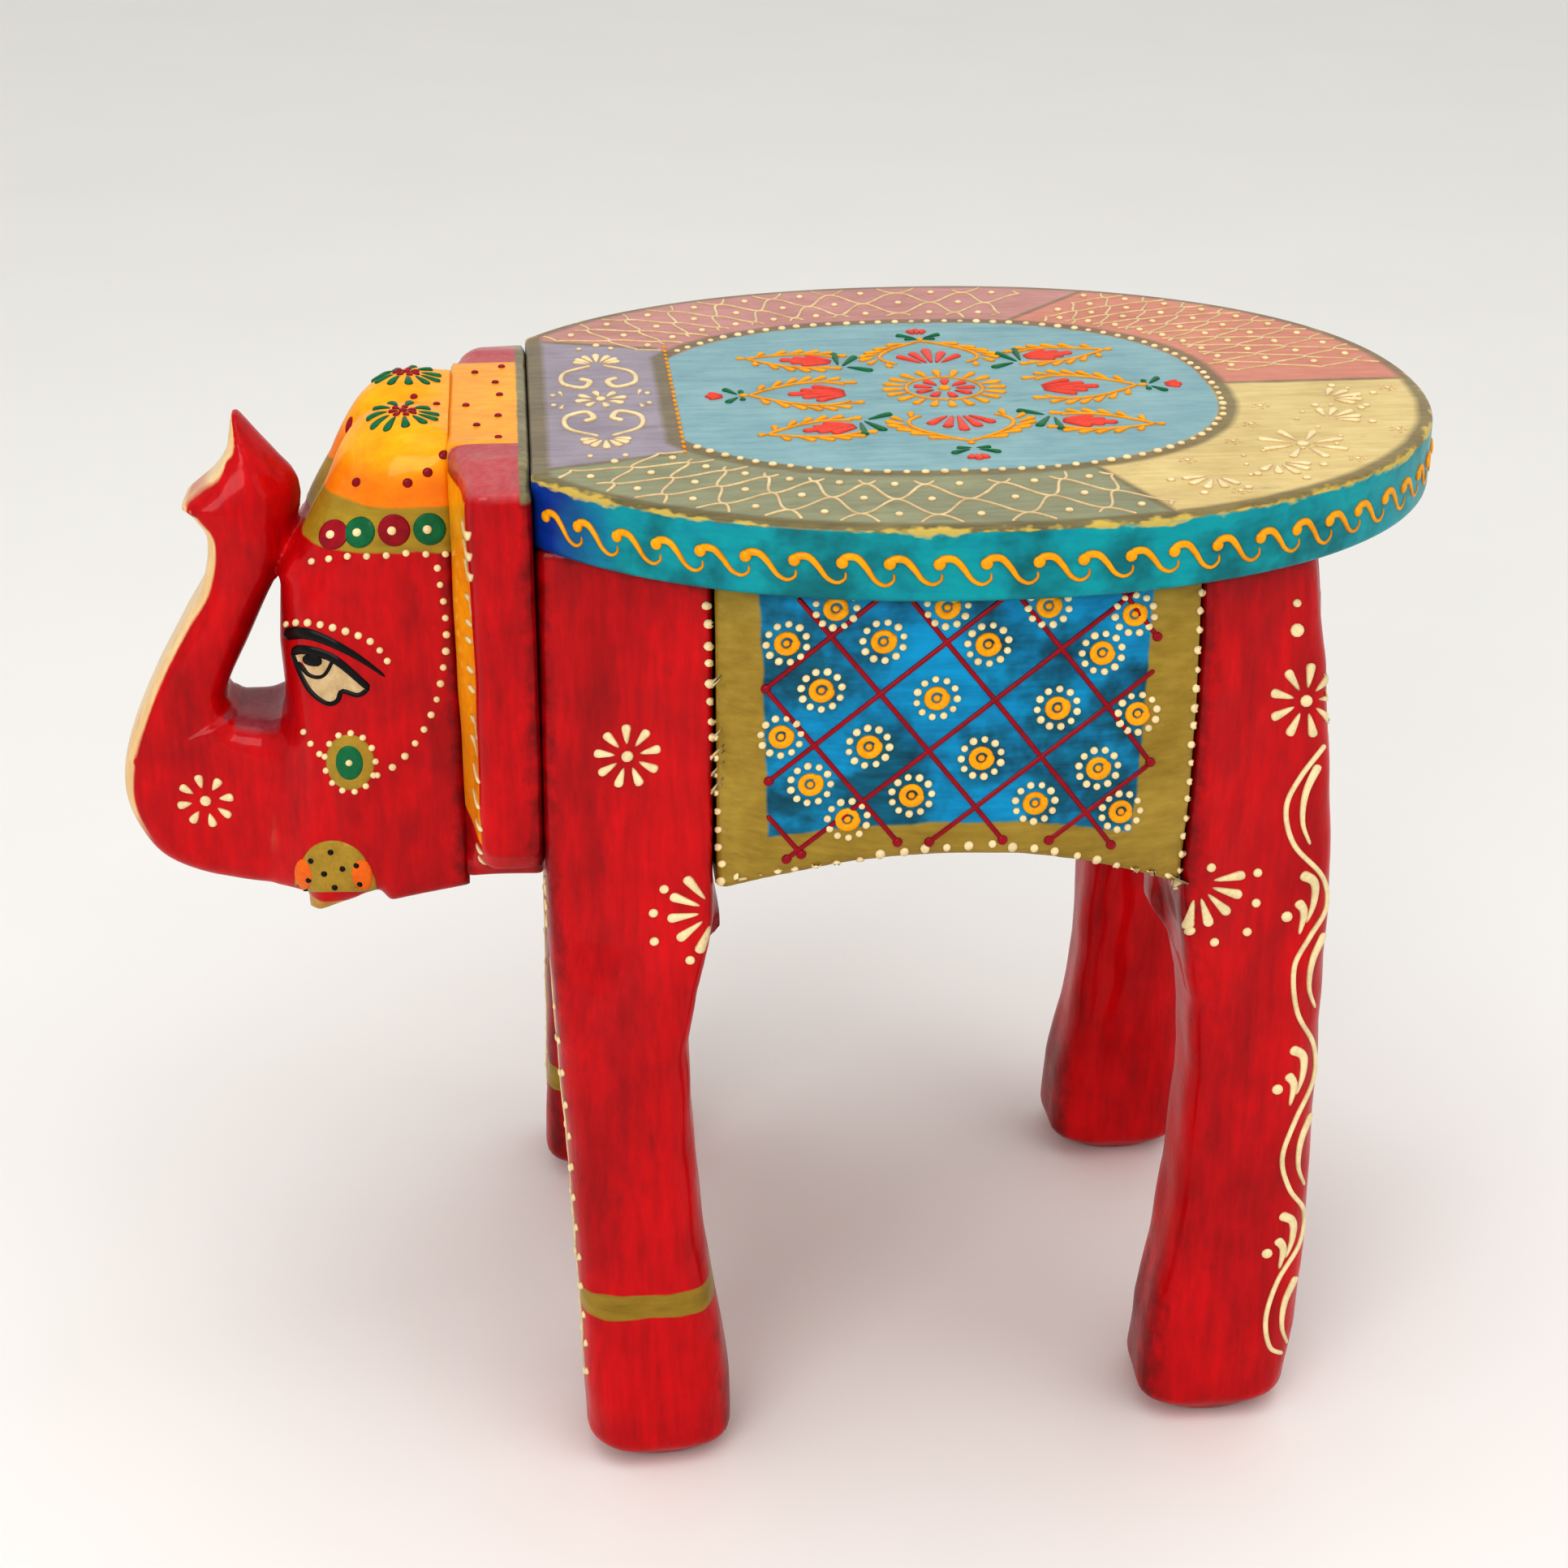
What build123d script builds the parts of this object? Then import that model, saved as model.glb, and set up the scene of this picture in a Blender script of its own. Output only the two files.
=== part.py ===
from build123d import *
from math import cos, pi, sin
import os

# A painted elephant stool, built up from sawn and carved mango-wood boards.
# Millimetres, +Z up. The elephant looks along -Y and its left side is +X.
# Every piece is drawn with y = 0 on the glue line behind the ear board, and is
# moved along Y at the end so that the origin is the middle of the footprint.

# seat
seat_height = 250.0
seat_thickness = 17.0
seat_half_width = 100.0
seat_half_length = 117.5
seat_centre_y = 99.8
seat_fullness = 2.15          # 2 is an ellipse, more is squarer
seat_edge_round = 1.6
seat_end_y = seat_centre_y + seat_half_length
seat_underside = seat_height - seat_thickness

# leg boards, from the glue line back, and the belly block between them
front_board_back = 39.0
rear_board_front = 146.0
belly_inset_top = 6.0
belly_inset_middle = 4.0
belly_inset_bottom = 8.0
belly_middle_z = 205.0
belly_bottom_z = 150.0
belly_edge_z = 158.0          # underside where it meets the leg boards
belly_crown_z = 170.0         # underside at the middle of the arch
bridge_crown_z = 172.0        # underside of a leg board at its centre line
bridge_spring_z = 138.0
bridge_half_span = 50.0

# ear board
ear_thickness = 19.0
ear_edge_thickness = 14.0
ear_half_width = 62.0
ear_top_z = 250.4
ear_bottom_z = 138.0
head_half_width = 33.0

# head and trunk
trunk_reach = 103.0           # from the glue line to the foremost point
trunk_half_width = 15.0
brow_half_width = 29.0
dome_top_z = 253.5

# fastenings
screw_shank = 4.0
screw_head = 8.0
screw_head_depth = 2.6
screw_point = 4.0
seat_screw_length = 45.0
ear_screw_length = 42.0
plug_depth = 6.0
belly_dowel = (10.0, 50.0)    # diameter, length
leg_dowel = (8.0, 40.0)
head_dowel = (10.0, 36.0)

to_origin = Pos(0, (trunk_reach - seat_end_y) / 2, 0)


def oval(inset=0.0, points=48):
    """The seat's outline as a closed face, drawn in by an even inset."""
    half_x = seat_half_width - inset
    half_y = seat_half_length - inset
    power = 2 / seat_fullness
    outline = []
    for step in range(points):
        angle = 2 * pi * step / points
        side = 1 if cos(angle) >= 0 else -1
        end = 1 if sin(angle) >= 0 else -1
        x = side * half_x * abs(cos(angle)) ** power
        y = end * half_y * abs(sin(angle)) ** power
        outline.append((x, seat_centre_y + y))
    return make_face(Spline(outline, periodic=True))


def slab(x_range, y_range, z_range):
    """A box given by its two faces along each axis."""
    size = [high - low for low, high in (x_range, y_range, z_range)]
    middle = [(high + low) / 2 for low, high in (x_range, y_range, z_range)]
    return Pos(*middle) * Box(*size)


def mirrored(solid):
    """The right-hand twin of a left-hand piece."""
    return solid.mirror(Plane.YZ)


def rod(diameter, length, start, direction):
    """A round bar from a start point."""
    disc = Plane(origin=start, z_dir=direction) * Circle(diameter / 2)
    return extrude(disc, amount=length)


def countersunk_screw(length, start, direction):
    """A wood screw, drawn smooth, with its head's flat face at start."""
    axis = Plane(origin=start, z_dir=direction)
    half_profile = Polyline(
        (0, 0),
        (screw_head / 2, 0),
        (screw_shank / 2, screw_head_depth),
        (screw_shank / 2, length - screw_point),
        (0, length),
        close=True,
    )
    turned = revolve(Plane.XZ * make_face(half_profile), Axis.Z)
    return axis.location * turned


def leg_section(z, x_in, x_front, x_back, y_front, y_back, corner):
    """One level of a leg: four rounded corners, with a slanted outer side."""
    corners = [(x_in, y_front), (x_front, y_front), (x_back, y_back), (x_in, y_back)]
    outline = Polyline(*corners, close=True)
    face = fillet(make_face(outline).vertices(), corner)
    return Pos(0, 0, z) * face


def leg_board(stations, y_front, y_back):
    """Half of a leg board: the leg, and its bridge to the centre line."""
    post = loft([leg_section(*station) for station in stations], ruled=True)
    bridge = slab((0, bridge_half_span), (y_front, y_back), (bridge_spring_z, seat_underside))
    arch = Plane.XZ * make_face(
        ThreePointArc((-bridge_half_span, bridge_spring_z), (0, bridge_crown_z), (bridge_half_span, bridge_spring_z))
        + Line((bridge_half_span, bridge_spring_z), (-bridge_half_span, bridge_spring_z))
    )
    bridge -= extrude(arch, amount=400, both=True)
    return post + bridge


def front_leg():
    """Left front leg board, standing just behind the ear board."""
    back = front_board_back
    stations = [
        (0.0, 55.0, 81.0, 81.0, 10.0, 35.0, 6.0),
        (8.0, 50.0, 86.0, 86.0, 5.2, 40.6, 9.0),
        (20.0, 49.5, 86.0, 86.0, 4.8, 40.8, 9.0),
        (36.0, 50.2, 85.0, 85.0, 4.6, 38.8, 9.0),
        (54.0, 51.0, 83.5, 84.0, 4.2, 36.2, 9.0),
        (74.0, 51.2, 81.5, 83.0, 3.4, 34.2, 9.0),
        (96.0, 51.0, 78.5, 82.0, 2.0, 32.8, 9.0),
        (114.0, 50.5, 75.0, 81.2, 1.0, 32.6, 8.5),
        (128.0, 49.5, 70.5, 80.6, 0.3, 34.4, 7.0),
        (140.0, 48.2, 66.5, 80.2, 0.0, 37.4, 5.0),
        (150.0, 47.0, 64.0, 80.2, 0.0, back, 3.5),
        (178.0, 44.0, 59.0, 82.0, 0.0, back, 2.5),
        (belly_middle_z, 42.0, 55.5, 83.5, 0.0, back, 2.0),
        (seat_underside, 40.0, 51.5, 82.0, 0.0, back, 2.0),
    ]
    return leg_board(stations, 0.0, back)


def rear_leg():
    """Left rear leg board, behind the belly block."""
    front = rear_board_front
    stations = [
        (0.0, 51.0, 75.5, 75.5, 151.0, 177.0, 6.0),
        (8.0, 46.5, 80.0, 80.0, 145.6, 184.0, 9.0),
        (24.0, 46.5, 80.0, 80.0, 147.0, 186.0, 9.0),
        (42.0, 47.0, 79.8, 79.2, 150.2, 186.6, 9.0),
        (64.0, 47.6, 79.5, 78.2, 152.6, 186.9, 9.0),
        (100.0, 48.0, 80.0, 77.0, 153.4, 186.8, 9.0),
        (120.0, 47.6, 81.2, 76.4, 152.0, 186.2, 8.5),
        (136.0, 46.6, 83.2, 76.0, 149.0, 185.5, 6.5),
        (152.0, 45.0, 85.5, 76.0, front, 184.5, 4.0),
        (178.0, 43.5, 87.6, 75.6, front, 182.6, 4.0),
        (belly_middle_z, 42.0, 89.0, 75.0, front, 180.0, 4.0),
        (seat_underside, 40.0, 87.5, 73.0, front, 175.5, 4.0),
    ]
    return leg_board(stations, front, 175.5)


def belly_block():
    """The barrel between the leg boards, with an arched underside."""
    barrel = loft([
        Pos(0, 0, belly_bottom_z) * oval(belly_inset_bottom),
        Pos(0, 0, belly_middle_z) * oval(belly_inset_middle),
        Pos(0, 0, seat_underside) * oval(belly_inset_top),
    ])
    reach = seat_half_width
    block = barrel & slab((-reach, reach), (front_board_back, rear_board_front), (belly_bottom_z, seat_underside))
    middle_y = (front_board_back + rear_board_front) / 2
    arch = Plane.YZ * make_face(
        ThreePointArc(
            (front_board_back, belly_edge_z), (middle_y, belly_crown_z), (rear_board_front, belly_edge_z)
        )
        + Polyline(
            (rear_board_front, belly_edge_z),
            (rear_board_front + 5, belly_bottom_z - 5),
            (front_board_back - 5, belly_bottom_z - 5),
            (front_board_back, belly_edge_z),
        )
    )
    return block - extrude(arch, amount=2 * reach, both=True)


def seat_board():
    """The oval top, sawn straight across where it meets the ear board."""
    board = Pos(0, 0, seat_underside) * extrude(oval(), amount=seat_thickness)
    board &= slab((-200, 200), (0, 300), (seat_underside, seat_height))
    rims = board.edges().filter_by(lambda edge: edge.bounding_box().size.Z < 0.01 and edge.length > 200)
    return fillet(rims, seat_edge_round)


def ear_board():
    """One board across the front: both ears, and the backing for the head."""
    left_side = [
        (44, ear_top_z),
        (ear_half_width - 1.5, 247.0),
        (ear_half_width, 226.0),
        (ear_half_width - 1.5, 180.0),
        (ear_half_width - 3.0, 160.0),
        (ear_half_width - 8.0, 154.0),
        (head_half_width, 148.0),
        (18, ear_bottom_z),
    ]
    right_side = [(-x, z) for x, z in reversed(left_side)]
    outline = Plane.XZ * make_face(Polyline(*left_side, *right_side, close=True))
    board = extrude(outline, amount=ear_thickness)
    plan = make_face(Polyline(
        (ear_half_width, 0),
        (ear_half_width, -ear_edge_thickness),
        (head_half_width, -ear_thickness),
        (-head_half_width, -ear_thickness),
        (-ear_half_width, -ear_edge_thickness),
        (-ear_half_width, 0),
        close=True,
    ))
    return board & Pos(0, 0, 100) * extrude(plan, amount=200)


def head_profile():
    """Side view of the head and raised trunk, with the loop between them."""
    back = -ear_thickness
    top = Spline((back, 251.5), (-28, dome_top_z), (-42.5, 245.5), (-49.5, 231.5), (-55.5, 222.0))
    tip = Polyline((-55.5, 222.0), (-54.5, 237.0), (-68.5, 251.0), (-73.5, 238.0), (-82.0, 230.0), (-77.5, 222.0))
    front = Spline((-77.5, 222.0), (-80.5, 208.0), (-91.0, 190.0), (-trunk_reach, 157.0), (-94.5, 140.0),
                   (-80.0, 131.5), (-64.0, 131.0))
    chin = Polyline((-64.0, 131.0), (-58.5, 126.5), (-48.5, 128.5), (-42.5, 133.0), (-38.0, 130.0),
                    (back, 136.0), (back, 251.5))
    loop = make_face(
        Spline((-61.6, 212.0), (-68.0, 199.0), (-74.5, 184.0), (-72.0, 176.0))
        + Line((-72.0, 176.0), (-61.0, 176.0))
        + Spline((-61.0, 176.0), (-61.2, 196.0), (-59.6, 212.0))
        + Line((-59.6, 212.0), (-61.6, 212.0))
    )
    return make_face(top + tip + front + chin) - loop


def head_block():
    """Head and trunk from one block, sawn from the side and from above."""
    side = extrude(Plane.YZ * head_profile(), amount=head_half_width, both=True)
    left_side = [
        (head_half_width, -ear_thickness),
        (head_half_width - 1, -42),
        (brow_half_width, -53),
        (trunk_half_width + 4, -62),
        (trunk_half_width, -70),
        (trunk_half_width - 1, -trunk_reach - 1),
    ]
    right_side = [(-x, y) for x, y in reversed(left_side)]
    plan = make_face(Polyline(*left_side, *right_side, close=True))
    valley = Pos(0, -50, dome_top_z + 6) * Rot(90, 0, 0) * Cylinder(9, 60)
    return (side & Pos(0, 0, 100) * extrude(plan, amount=200)) - valley


seat = seat_board()
ears = ear_board()
head = head_block()
belly = belly_block()
front_left = front_leg()
rear_left = rear_leg()
front_right = mirrored(front_left)
rear_right = mirrored(rear_left)

# screws down through the seat into the four legs, under wooden plugs
seat_screws = []
seat_plugs = []
for x in (-44, 44):
    for y in (22, 162):
        seat_screws.append(countersunk_screw(seat_screw_length, (x, y, seat_height - plug_depth), (0, 0, -1)))
        seat_plugs.append(rod(screw_head, plug_depth, (x, y, seat_height), (0, 0, -1)))

# screws through the ear board into the front leg boards, covered by the head
ear_screws = []
for x in (-26, 26):
    for z in (184, 226):
        ear_screws.append(countersunk_screw(ear_screw_length, (x, -ear_thickness, z), (0, 1, 0)))

# dowels across each glue line
belly_dowels = []
for x in (-56, -28, 28, 56):
    for y in (front_board_back, rear_board_front):
        belly_dowels.append(rod(*belly_dowel, (x, y - belly_dowel[1] / 2, 200), (0, 1, 0)))

leg_dowels = []
for y in (20, 161):
    for z in (190, 218):
        leg_dowels.append(rod(*leg_dowel, (-leg_dowel[1] / 2, y, z), (1, 0, 0)))

head_dowels = []
for z in (165, 222):
    head_dowels.append(rod(*head_dowel, (0, -4 - head_dowel[1], z), (0, 1, 0)))

wooden = {
    "seat_board": seat,
    "ear_board": ears,
    "head_block": head,
    "belly_block": belly,
    "front_leg_left": front_left,
    "front_leg_right": front_right,
    "rear_leg_left": rear_left,
    "rear_leg_right": rear_right,
}
fastenings = {
    "seat_screws": seat_screws,
    "seat_plugs": seat_plugs,
    "ear_board_screws": ear_screws,
    "belly_dowels": belly_dowels,
    "leg_dowels": leg_dowels,
    "head_dowels": head_dowels,
}

# every hole is exactly the size of what fills it
for name, piece in wooden.items():
    for group in fastenings.values():
        for pin in group:
            piece -= pin
    wooden[name] = piece

os.makedirs("parts", exist_ok=True)
for name, piece in wooden.items():
    export_step(to_origin * piece, f"parts/{name}.step")
for name, group in fastenings.items():
    export_step(Compound(children=[to_origin * pin for pin in group]), f"parts/{name}.step")
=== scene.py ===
import math

import bpy
import numpy as np
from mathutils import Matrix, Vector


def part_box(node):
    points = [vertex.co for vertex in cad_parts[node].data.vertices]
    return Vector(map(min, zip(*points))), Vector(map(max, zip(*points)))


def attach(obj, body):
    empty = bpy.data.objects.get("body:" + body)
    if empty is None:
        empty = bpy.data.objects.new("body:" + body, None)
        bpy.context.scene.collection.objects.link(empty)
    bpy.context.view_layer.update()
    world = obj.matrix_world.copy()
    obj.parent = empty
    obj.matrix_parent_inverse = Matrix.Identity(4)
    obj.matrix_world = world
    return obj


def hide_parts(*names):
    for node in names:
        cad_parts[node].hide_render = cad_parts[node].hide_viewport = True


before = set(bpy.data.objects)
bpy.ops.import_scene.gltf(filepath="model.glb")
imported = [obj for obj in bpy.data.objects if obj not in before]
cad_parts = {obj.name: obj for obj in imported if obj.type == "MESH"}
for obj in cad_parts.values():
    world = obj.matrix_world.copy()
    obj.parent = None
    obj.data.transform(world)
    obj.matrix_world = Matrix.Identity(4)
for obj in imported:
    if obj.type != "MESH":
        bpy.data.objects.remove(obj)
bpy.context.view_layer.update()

import openvdb
from mathutils import Vector
from mathutils.bvhtree import BVHTree


# ---------------------------------------------------------------------------
# Seat board: an oval mango-wood plank, sawn straight across where it meets the
# ear board. The top is painted in panels round a sky-blue oval, the rim is
# teal, and the sharp edges have worn back to yellow under the lacquer.
# ---------------------------------------------------------------------------

MM = 0.001
seat_low, seat_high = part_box("seat_board")
glue_y = seat_low.y / MM                       # the glue line behind the ears
seat_top = seat_high.z / MM
seat_underside = seat_low.z / MM
seat_half_width = seat_high.x / MM
seat_length = (seat_high.y - seat_low.y) / MM
seat_half_length = 117.5
seat_centre = seat_length - seat_half_length
seat_fullness = 2.15
edge_round = 1.5
oval_centre, oval_half_width, oval_half_length, oval_fullness = 97.0, 60.5, 68.0, 2.4
oval_front = 36.0


def place(x, y, z):
    """A point given in millimetres, with y counted back from the glue line."""
    return Vector((x * MM, (y + glue_y) * MM, z * MM))


def piece_from(name, points, faces, rise=None):
    """A smooth-shaded mesh object; rise is how high each point of raised paint is."""
    mesh = bpy.data.meshes.new(name)
    mesh.from_pydata(points, [], faces)
    mesh.shade_smooth()
    if rise is not None:
        mesh.attributes.new("rise", "FLOAT", "POINT").data.foreach_set("value", rise)
    piece = bpy.data.objects.new(name, mesh)
    bpy.context.scene.collection.objects.link(piece)
    return piece


def superellipse(angle, half_width, half_length, fullness):
    power = 2 / fullness
    x = math.copysign(half_width * abs(math.cos(angle)) ** power, math.cos(angle))
    y = math.copysign(half_length * abs(math.sin(angle)) ** power, math.sin(angle))
    return x, y


def even_steps(corners, spacing):
    """Points along a path, evenly spaced."""
    track = np.array(corners, float)
    lengths = np.r_[0, np.cumsum(np.linalg.norm(np.diff(track, axis=0), axis=1))]
    count = max(2, round(lengths[-1] / spacing) + 1)
    at = np.linspace(0, lengths[-1], count)
    return np.stack([np.interp(at, lengths, track[:, i]) for i in range(track.shape[1])], 1)


# the curved outline, from the right front corner round the tail to the left one
oval_angles = np.linspace(-math.pi / 2, 1.5 * math.pi, 721)
whole_oval = [superellipse(a, seat_half_width, seat_half_length, seat_fullness) for a in oval_angles]
whole_oval = [(x, y + seat_centre) for x, y in whole_oval]
rim_path = even_steps([p for p in whole_oval if p[1] > 0], 1.6)
front_path = even_steps([rim_path[-1], (rim_path[-1][0], 0), (rim_path[0][0], 0), rim_path[0]], 1.6)
seat_outline = np.vstack([rim_path, front_path[1:-1]])


def seat_mesh():
    """Rings from the middle of the top, over the worn edge, to the middle below."""
    middle = np.array([0, seat_centre])
    turns = [(edge_round * (1 - math.sin(a)), edge_round * (1 - math.cos(a)))
             for a in np.linspace(0, math.pi / 2, 5)]
    rings = [("scale", s, seat_top) for s in (0.02, 0.25, 0.5, 0.75, 0.9, 0.97)]
    rings += [("inset", inset, seat_top - drop) for inset, drop in turns]
    rings += [("inset", 0, z) for z in np.linspace(seat_top - 4, seat_underside + 4, 5)]
    rings += [("inset", inset, seat_underside + drop) for inset, drop in reversed(turns)]
    rings += [("scale", s, seat_underside) for s in (0.97, 0.6, 0.02)]
    size = np.abs(seat_outline - middle).max(0)
    count = np.arange(len(seat_outline))
    sway = 0.25 * np.sin(count * 0.19) + 0.2 * np.sin(count * 0.083)
    points = []
    for kind, amount, z in rings:
        if kind == "scale":
            ring = middle + (seat_outline - middle) * amount * (1 - edge_round / size)
        else:
            ring = middle + (seat_outline - middle) * (1 - amount / size)
        for (x, y), wave in zip(ring, sway):
            near_edge = 1 if kind == "inset" and y > 3 else 0
            points.append(place(x * (1 - near_edge * abs(wave) / 400), y, z))
    n = len(seat_outline)
    faces = []
    for r in range(len(rings) - 1):
        for i in range(n):
            j = (i + 1) % n
            faces.append((r * n + i, (r + 1) * n + i, (r + 1) * n + j, r * n + j))
    faces.append(tuple(range(n)))
    last = (len(rings) - 1) * n
    faces.append(tuple(last + i for i in reversed(range(n))))
    return piece_from("painted_seat", points, faces)


class Socket:
    """One value, vector or colour in a material, which Python's sums work on."""

    def __init__(self, tree, socket):
        self.tree = tree
        self.socket = socket

    def node(self, kind, settings=None, values=None, output=0):
        """Adds a node: its settings first, then the values or links of its sockets."""
        made = self.tree.nodes.new(kind)
        for name, setting in (settings or {}).items():
            setattr(made, name, setting)
        for name, value in (values or {}).items():
            if isinstance(value, Socket):
                self.tree.links.new(value.socket, made.inputs[name])
            else:
                made.inputs[name].default_value = value
        return Socket(self.tree, made.outputs[output])

    def maths(self, operation, *values):
        return self.node("ShaderNodeMath", {"operation": operation}, dict(enumerate(values)))

    def __add__(self, other):
        return self.maths("ADD", self, other)

    __radd__ = __add__

    def __mul__(self, other):
        return self.maths("MULTIPLY", self, other)

    __rmul__ = __mul__

    def __sub__(self, other):
        return self.maths("SUBTRACT", self, other)

    def __rsub__(self, other):
        return self.maths("SUBTRACT", other, self)

    def __truediv__(self, other):
        return self.maths("DIVIDE", self, other)

    def __rtruediv__(self, other):
        return self.maths("DIVIDE", other, self)

    def __pow__(self, other):
        return self.maths("POWER", self, other)

    def __abs__(self):
        return self.maths("ABSOLUTE", self)

    def at_least(self, other):
        return self.maths("MAXIMUM", self, other)

    def at_most(self, other):
        return self.maths("MINIMUM", self, other)

    def inside(self, softness=0.5):
        """1 where the value is below zero, 0 above, with a soft edge."""
        return self.node("ShaderNodeMath", {"operation": "MULTIPLY_ADD", "use_clamp": True},
                         {0: self, 1: -1 / softness, 2: 0.5})

    def between(self, low, high):
        """0 at low and below, 1 at high and above."""
        return self.node("ShaderNodeMapRange", {"clamp": True},
                         {"Value": self, "From Min": low, "From Max": high})

    def mixed(self, colour, amount):
        """This colour, with amount of the other one over it."""
        return self.node("ShaderNodeMix", {"data_type": "RGBA"}, {0: amount, 6: self, 7: colour}, 2)

    def stretched(self, x, y, z):
        return self.node("ShaderNodeVectorMath", {"operation": "MULTIPLY"}, {0: self, 1: (x, y, z)})

    def noise(self, size, detail=3.0, roughness=0.55):
        """Cloudy noise from 0 to 1, with lumps of about this many millimetres."""
        return self.node("ShaderNodeTexNoise", {"noise_dimensions": "3D"},
                         {"Vector": self, "Scale": 1 / size, "Detail": detail, "Roughness": roughness})


def start_material(name):
    """A new material's shader node and its place in millimetres from the glue line."""
    material = bpy.data.materials.new(name)
    material.use_nodes = True
    tree = material.node_tree
    shader = tree.nodes["Principled BSDF"]
    raw = Socket(tree, tree.nodes.new("ShaderNodeTexCoord").outputs["Object"])
    where = raw.node("ShaderNodeVectorMath", {"operation": "MULTIPLY_ADD"},
                     {0: raw, 1: (1 / MM, 1 / MM, 1 / MM), 2: (0, -glue_y, 0)})
    return material, shader, where


def split(where):
    return [where.node("ShaderNodeSeparateXYZ", {}, {0: where}, axis) for axis in range(3)]


def flat_colour(where, rgb):
    """A plain colour as the start of a mix."""
    return where.node("ShaderNodeMix", {"data_type": "RGBA"}, {0: 0.0, 6: (*rgb, 1), 7: (*rgb, 1)}, 2)


def brushed(where, grain, rgb_light, rgb_dark, contrast=1.0):
    """Brushed-on paint: two tones of it, drawn out along the brush strokes."""
    strokes = where.stretched(*grain).noise(2.2, 5.0, 0.65)
    clouds = where.noise(16.0, 3.0, 0.6)
    tone = (strokes * 0.55 + clouds * 0.45).between(0.5 - 0.16 / contrast, 0.5 + 0.16 / contrast)
    return flat_colour(where, rgb_dark).mixed((*rgb_light, 1), tone)


def feed(shader, colour, height, strength, depth, roughness):
    """Gives the shader its colour, its relief, depth millimetres deep, and its roughness."""
    relief = {"Height": height, "Strength": strength, "Distance": depth * MM}
    bump = height.node("ShaderNodeBump", {}, relief)
    for varying, socket in ((colour, "Base Color"), (bump, "Normal"), (roughness, "Roughness")):
        colour.tree.links.new(varying.socket, shader.inputs[socket])


def seal(shader, where, colour, grain, gloss=0.32, lumps=0.35, stain=0.5, stain_rgb=(0.03, 0.012, 0.01)):
    """Antiquing glaze left in the hollows, then clear lacquer over the paint."""
    patches = where.noise(11.0, 6.0, 0.7).between(0.56, 0.74)
    smears = where.stretched(*grain).noise(3.5, 4.0, 0.6).between(0.5, 0.72)
    specks = where.noise(1.3, 2.0, 0.6).between(0.68, 0.78)
    dirt = (patches * smears * stain + specks * 0.25 * stain).at_most(1.0)
    fine = where.stretched(*grain).noise(0.7, 3.0, 0.6)
    broad = where.noise(4.5, 2.0, 0.5)
    pits = where.noise(1.6, 1.0, 0.4).between(0.66, 0.8)
    height = fine * 0.16 + broad * lumps - pits * 0.25
    dull = gloss + fine * 0.2 + dirt * 0.15
    feed(shader, colour.mixed((*stain_rgb, 1), dirt), height, 0.55, 0.5, dull)
    shader.inputs["Specular IOR Level"].default_value = 0.14
    shader.inputs["Coat Weight"].default_value = 0.36
    shader.inputs["Coat Roughness"].default_value = 0.1


sky_blue, sky_shade = (0.27, 0.44, 0.46), (0.16, 0.32, 0.36)
plum, plum_shade = (0.36, 0.31, 0.36), (0.25, 0.21, 0.25)
sage, sage_shade = (0.31, 0.32, 0.19), (0.21, 0.215, 0.125)
rose, rose_shade = (0.56, 0.28, 0.25), (0.42, 0.19, 0.17)
coral, coral_shade = (0.64, 0.27, 0.19), (0.50, 0.18, 0.12)
straw, straw_shade = (0.72, 0.57, 0.26), (0.54, 0.40, 0.16)
olive, olive_shade = (0.22, 0.175, 0.07), (0.12, 0.09, 0.035)
teal, teal_shade = (0.0, 0.35, 0.37), (0.001, 0.13, 0.14)
cobalt = (0.004, 0.06, 0.36)
worn_yellow = (0.60, 0.44, 0.10)


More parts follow.
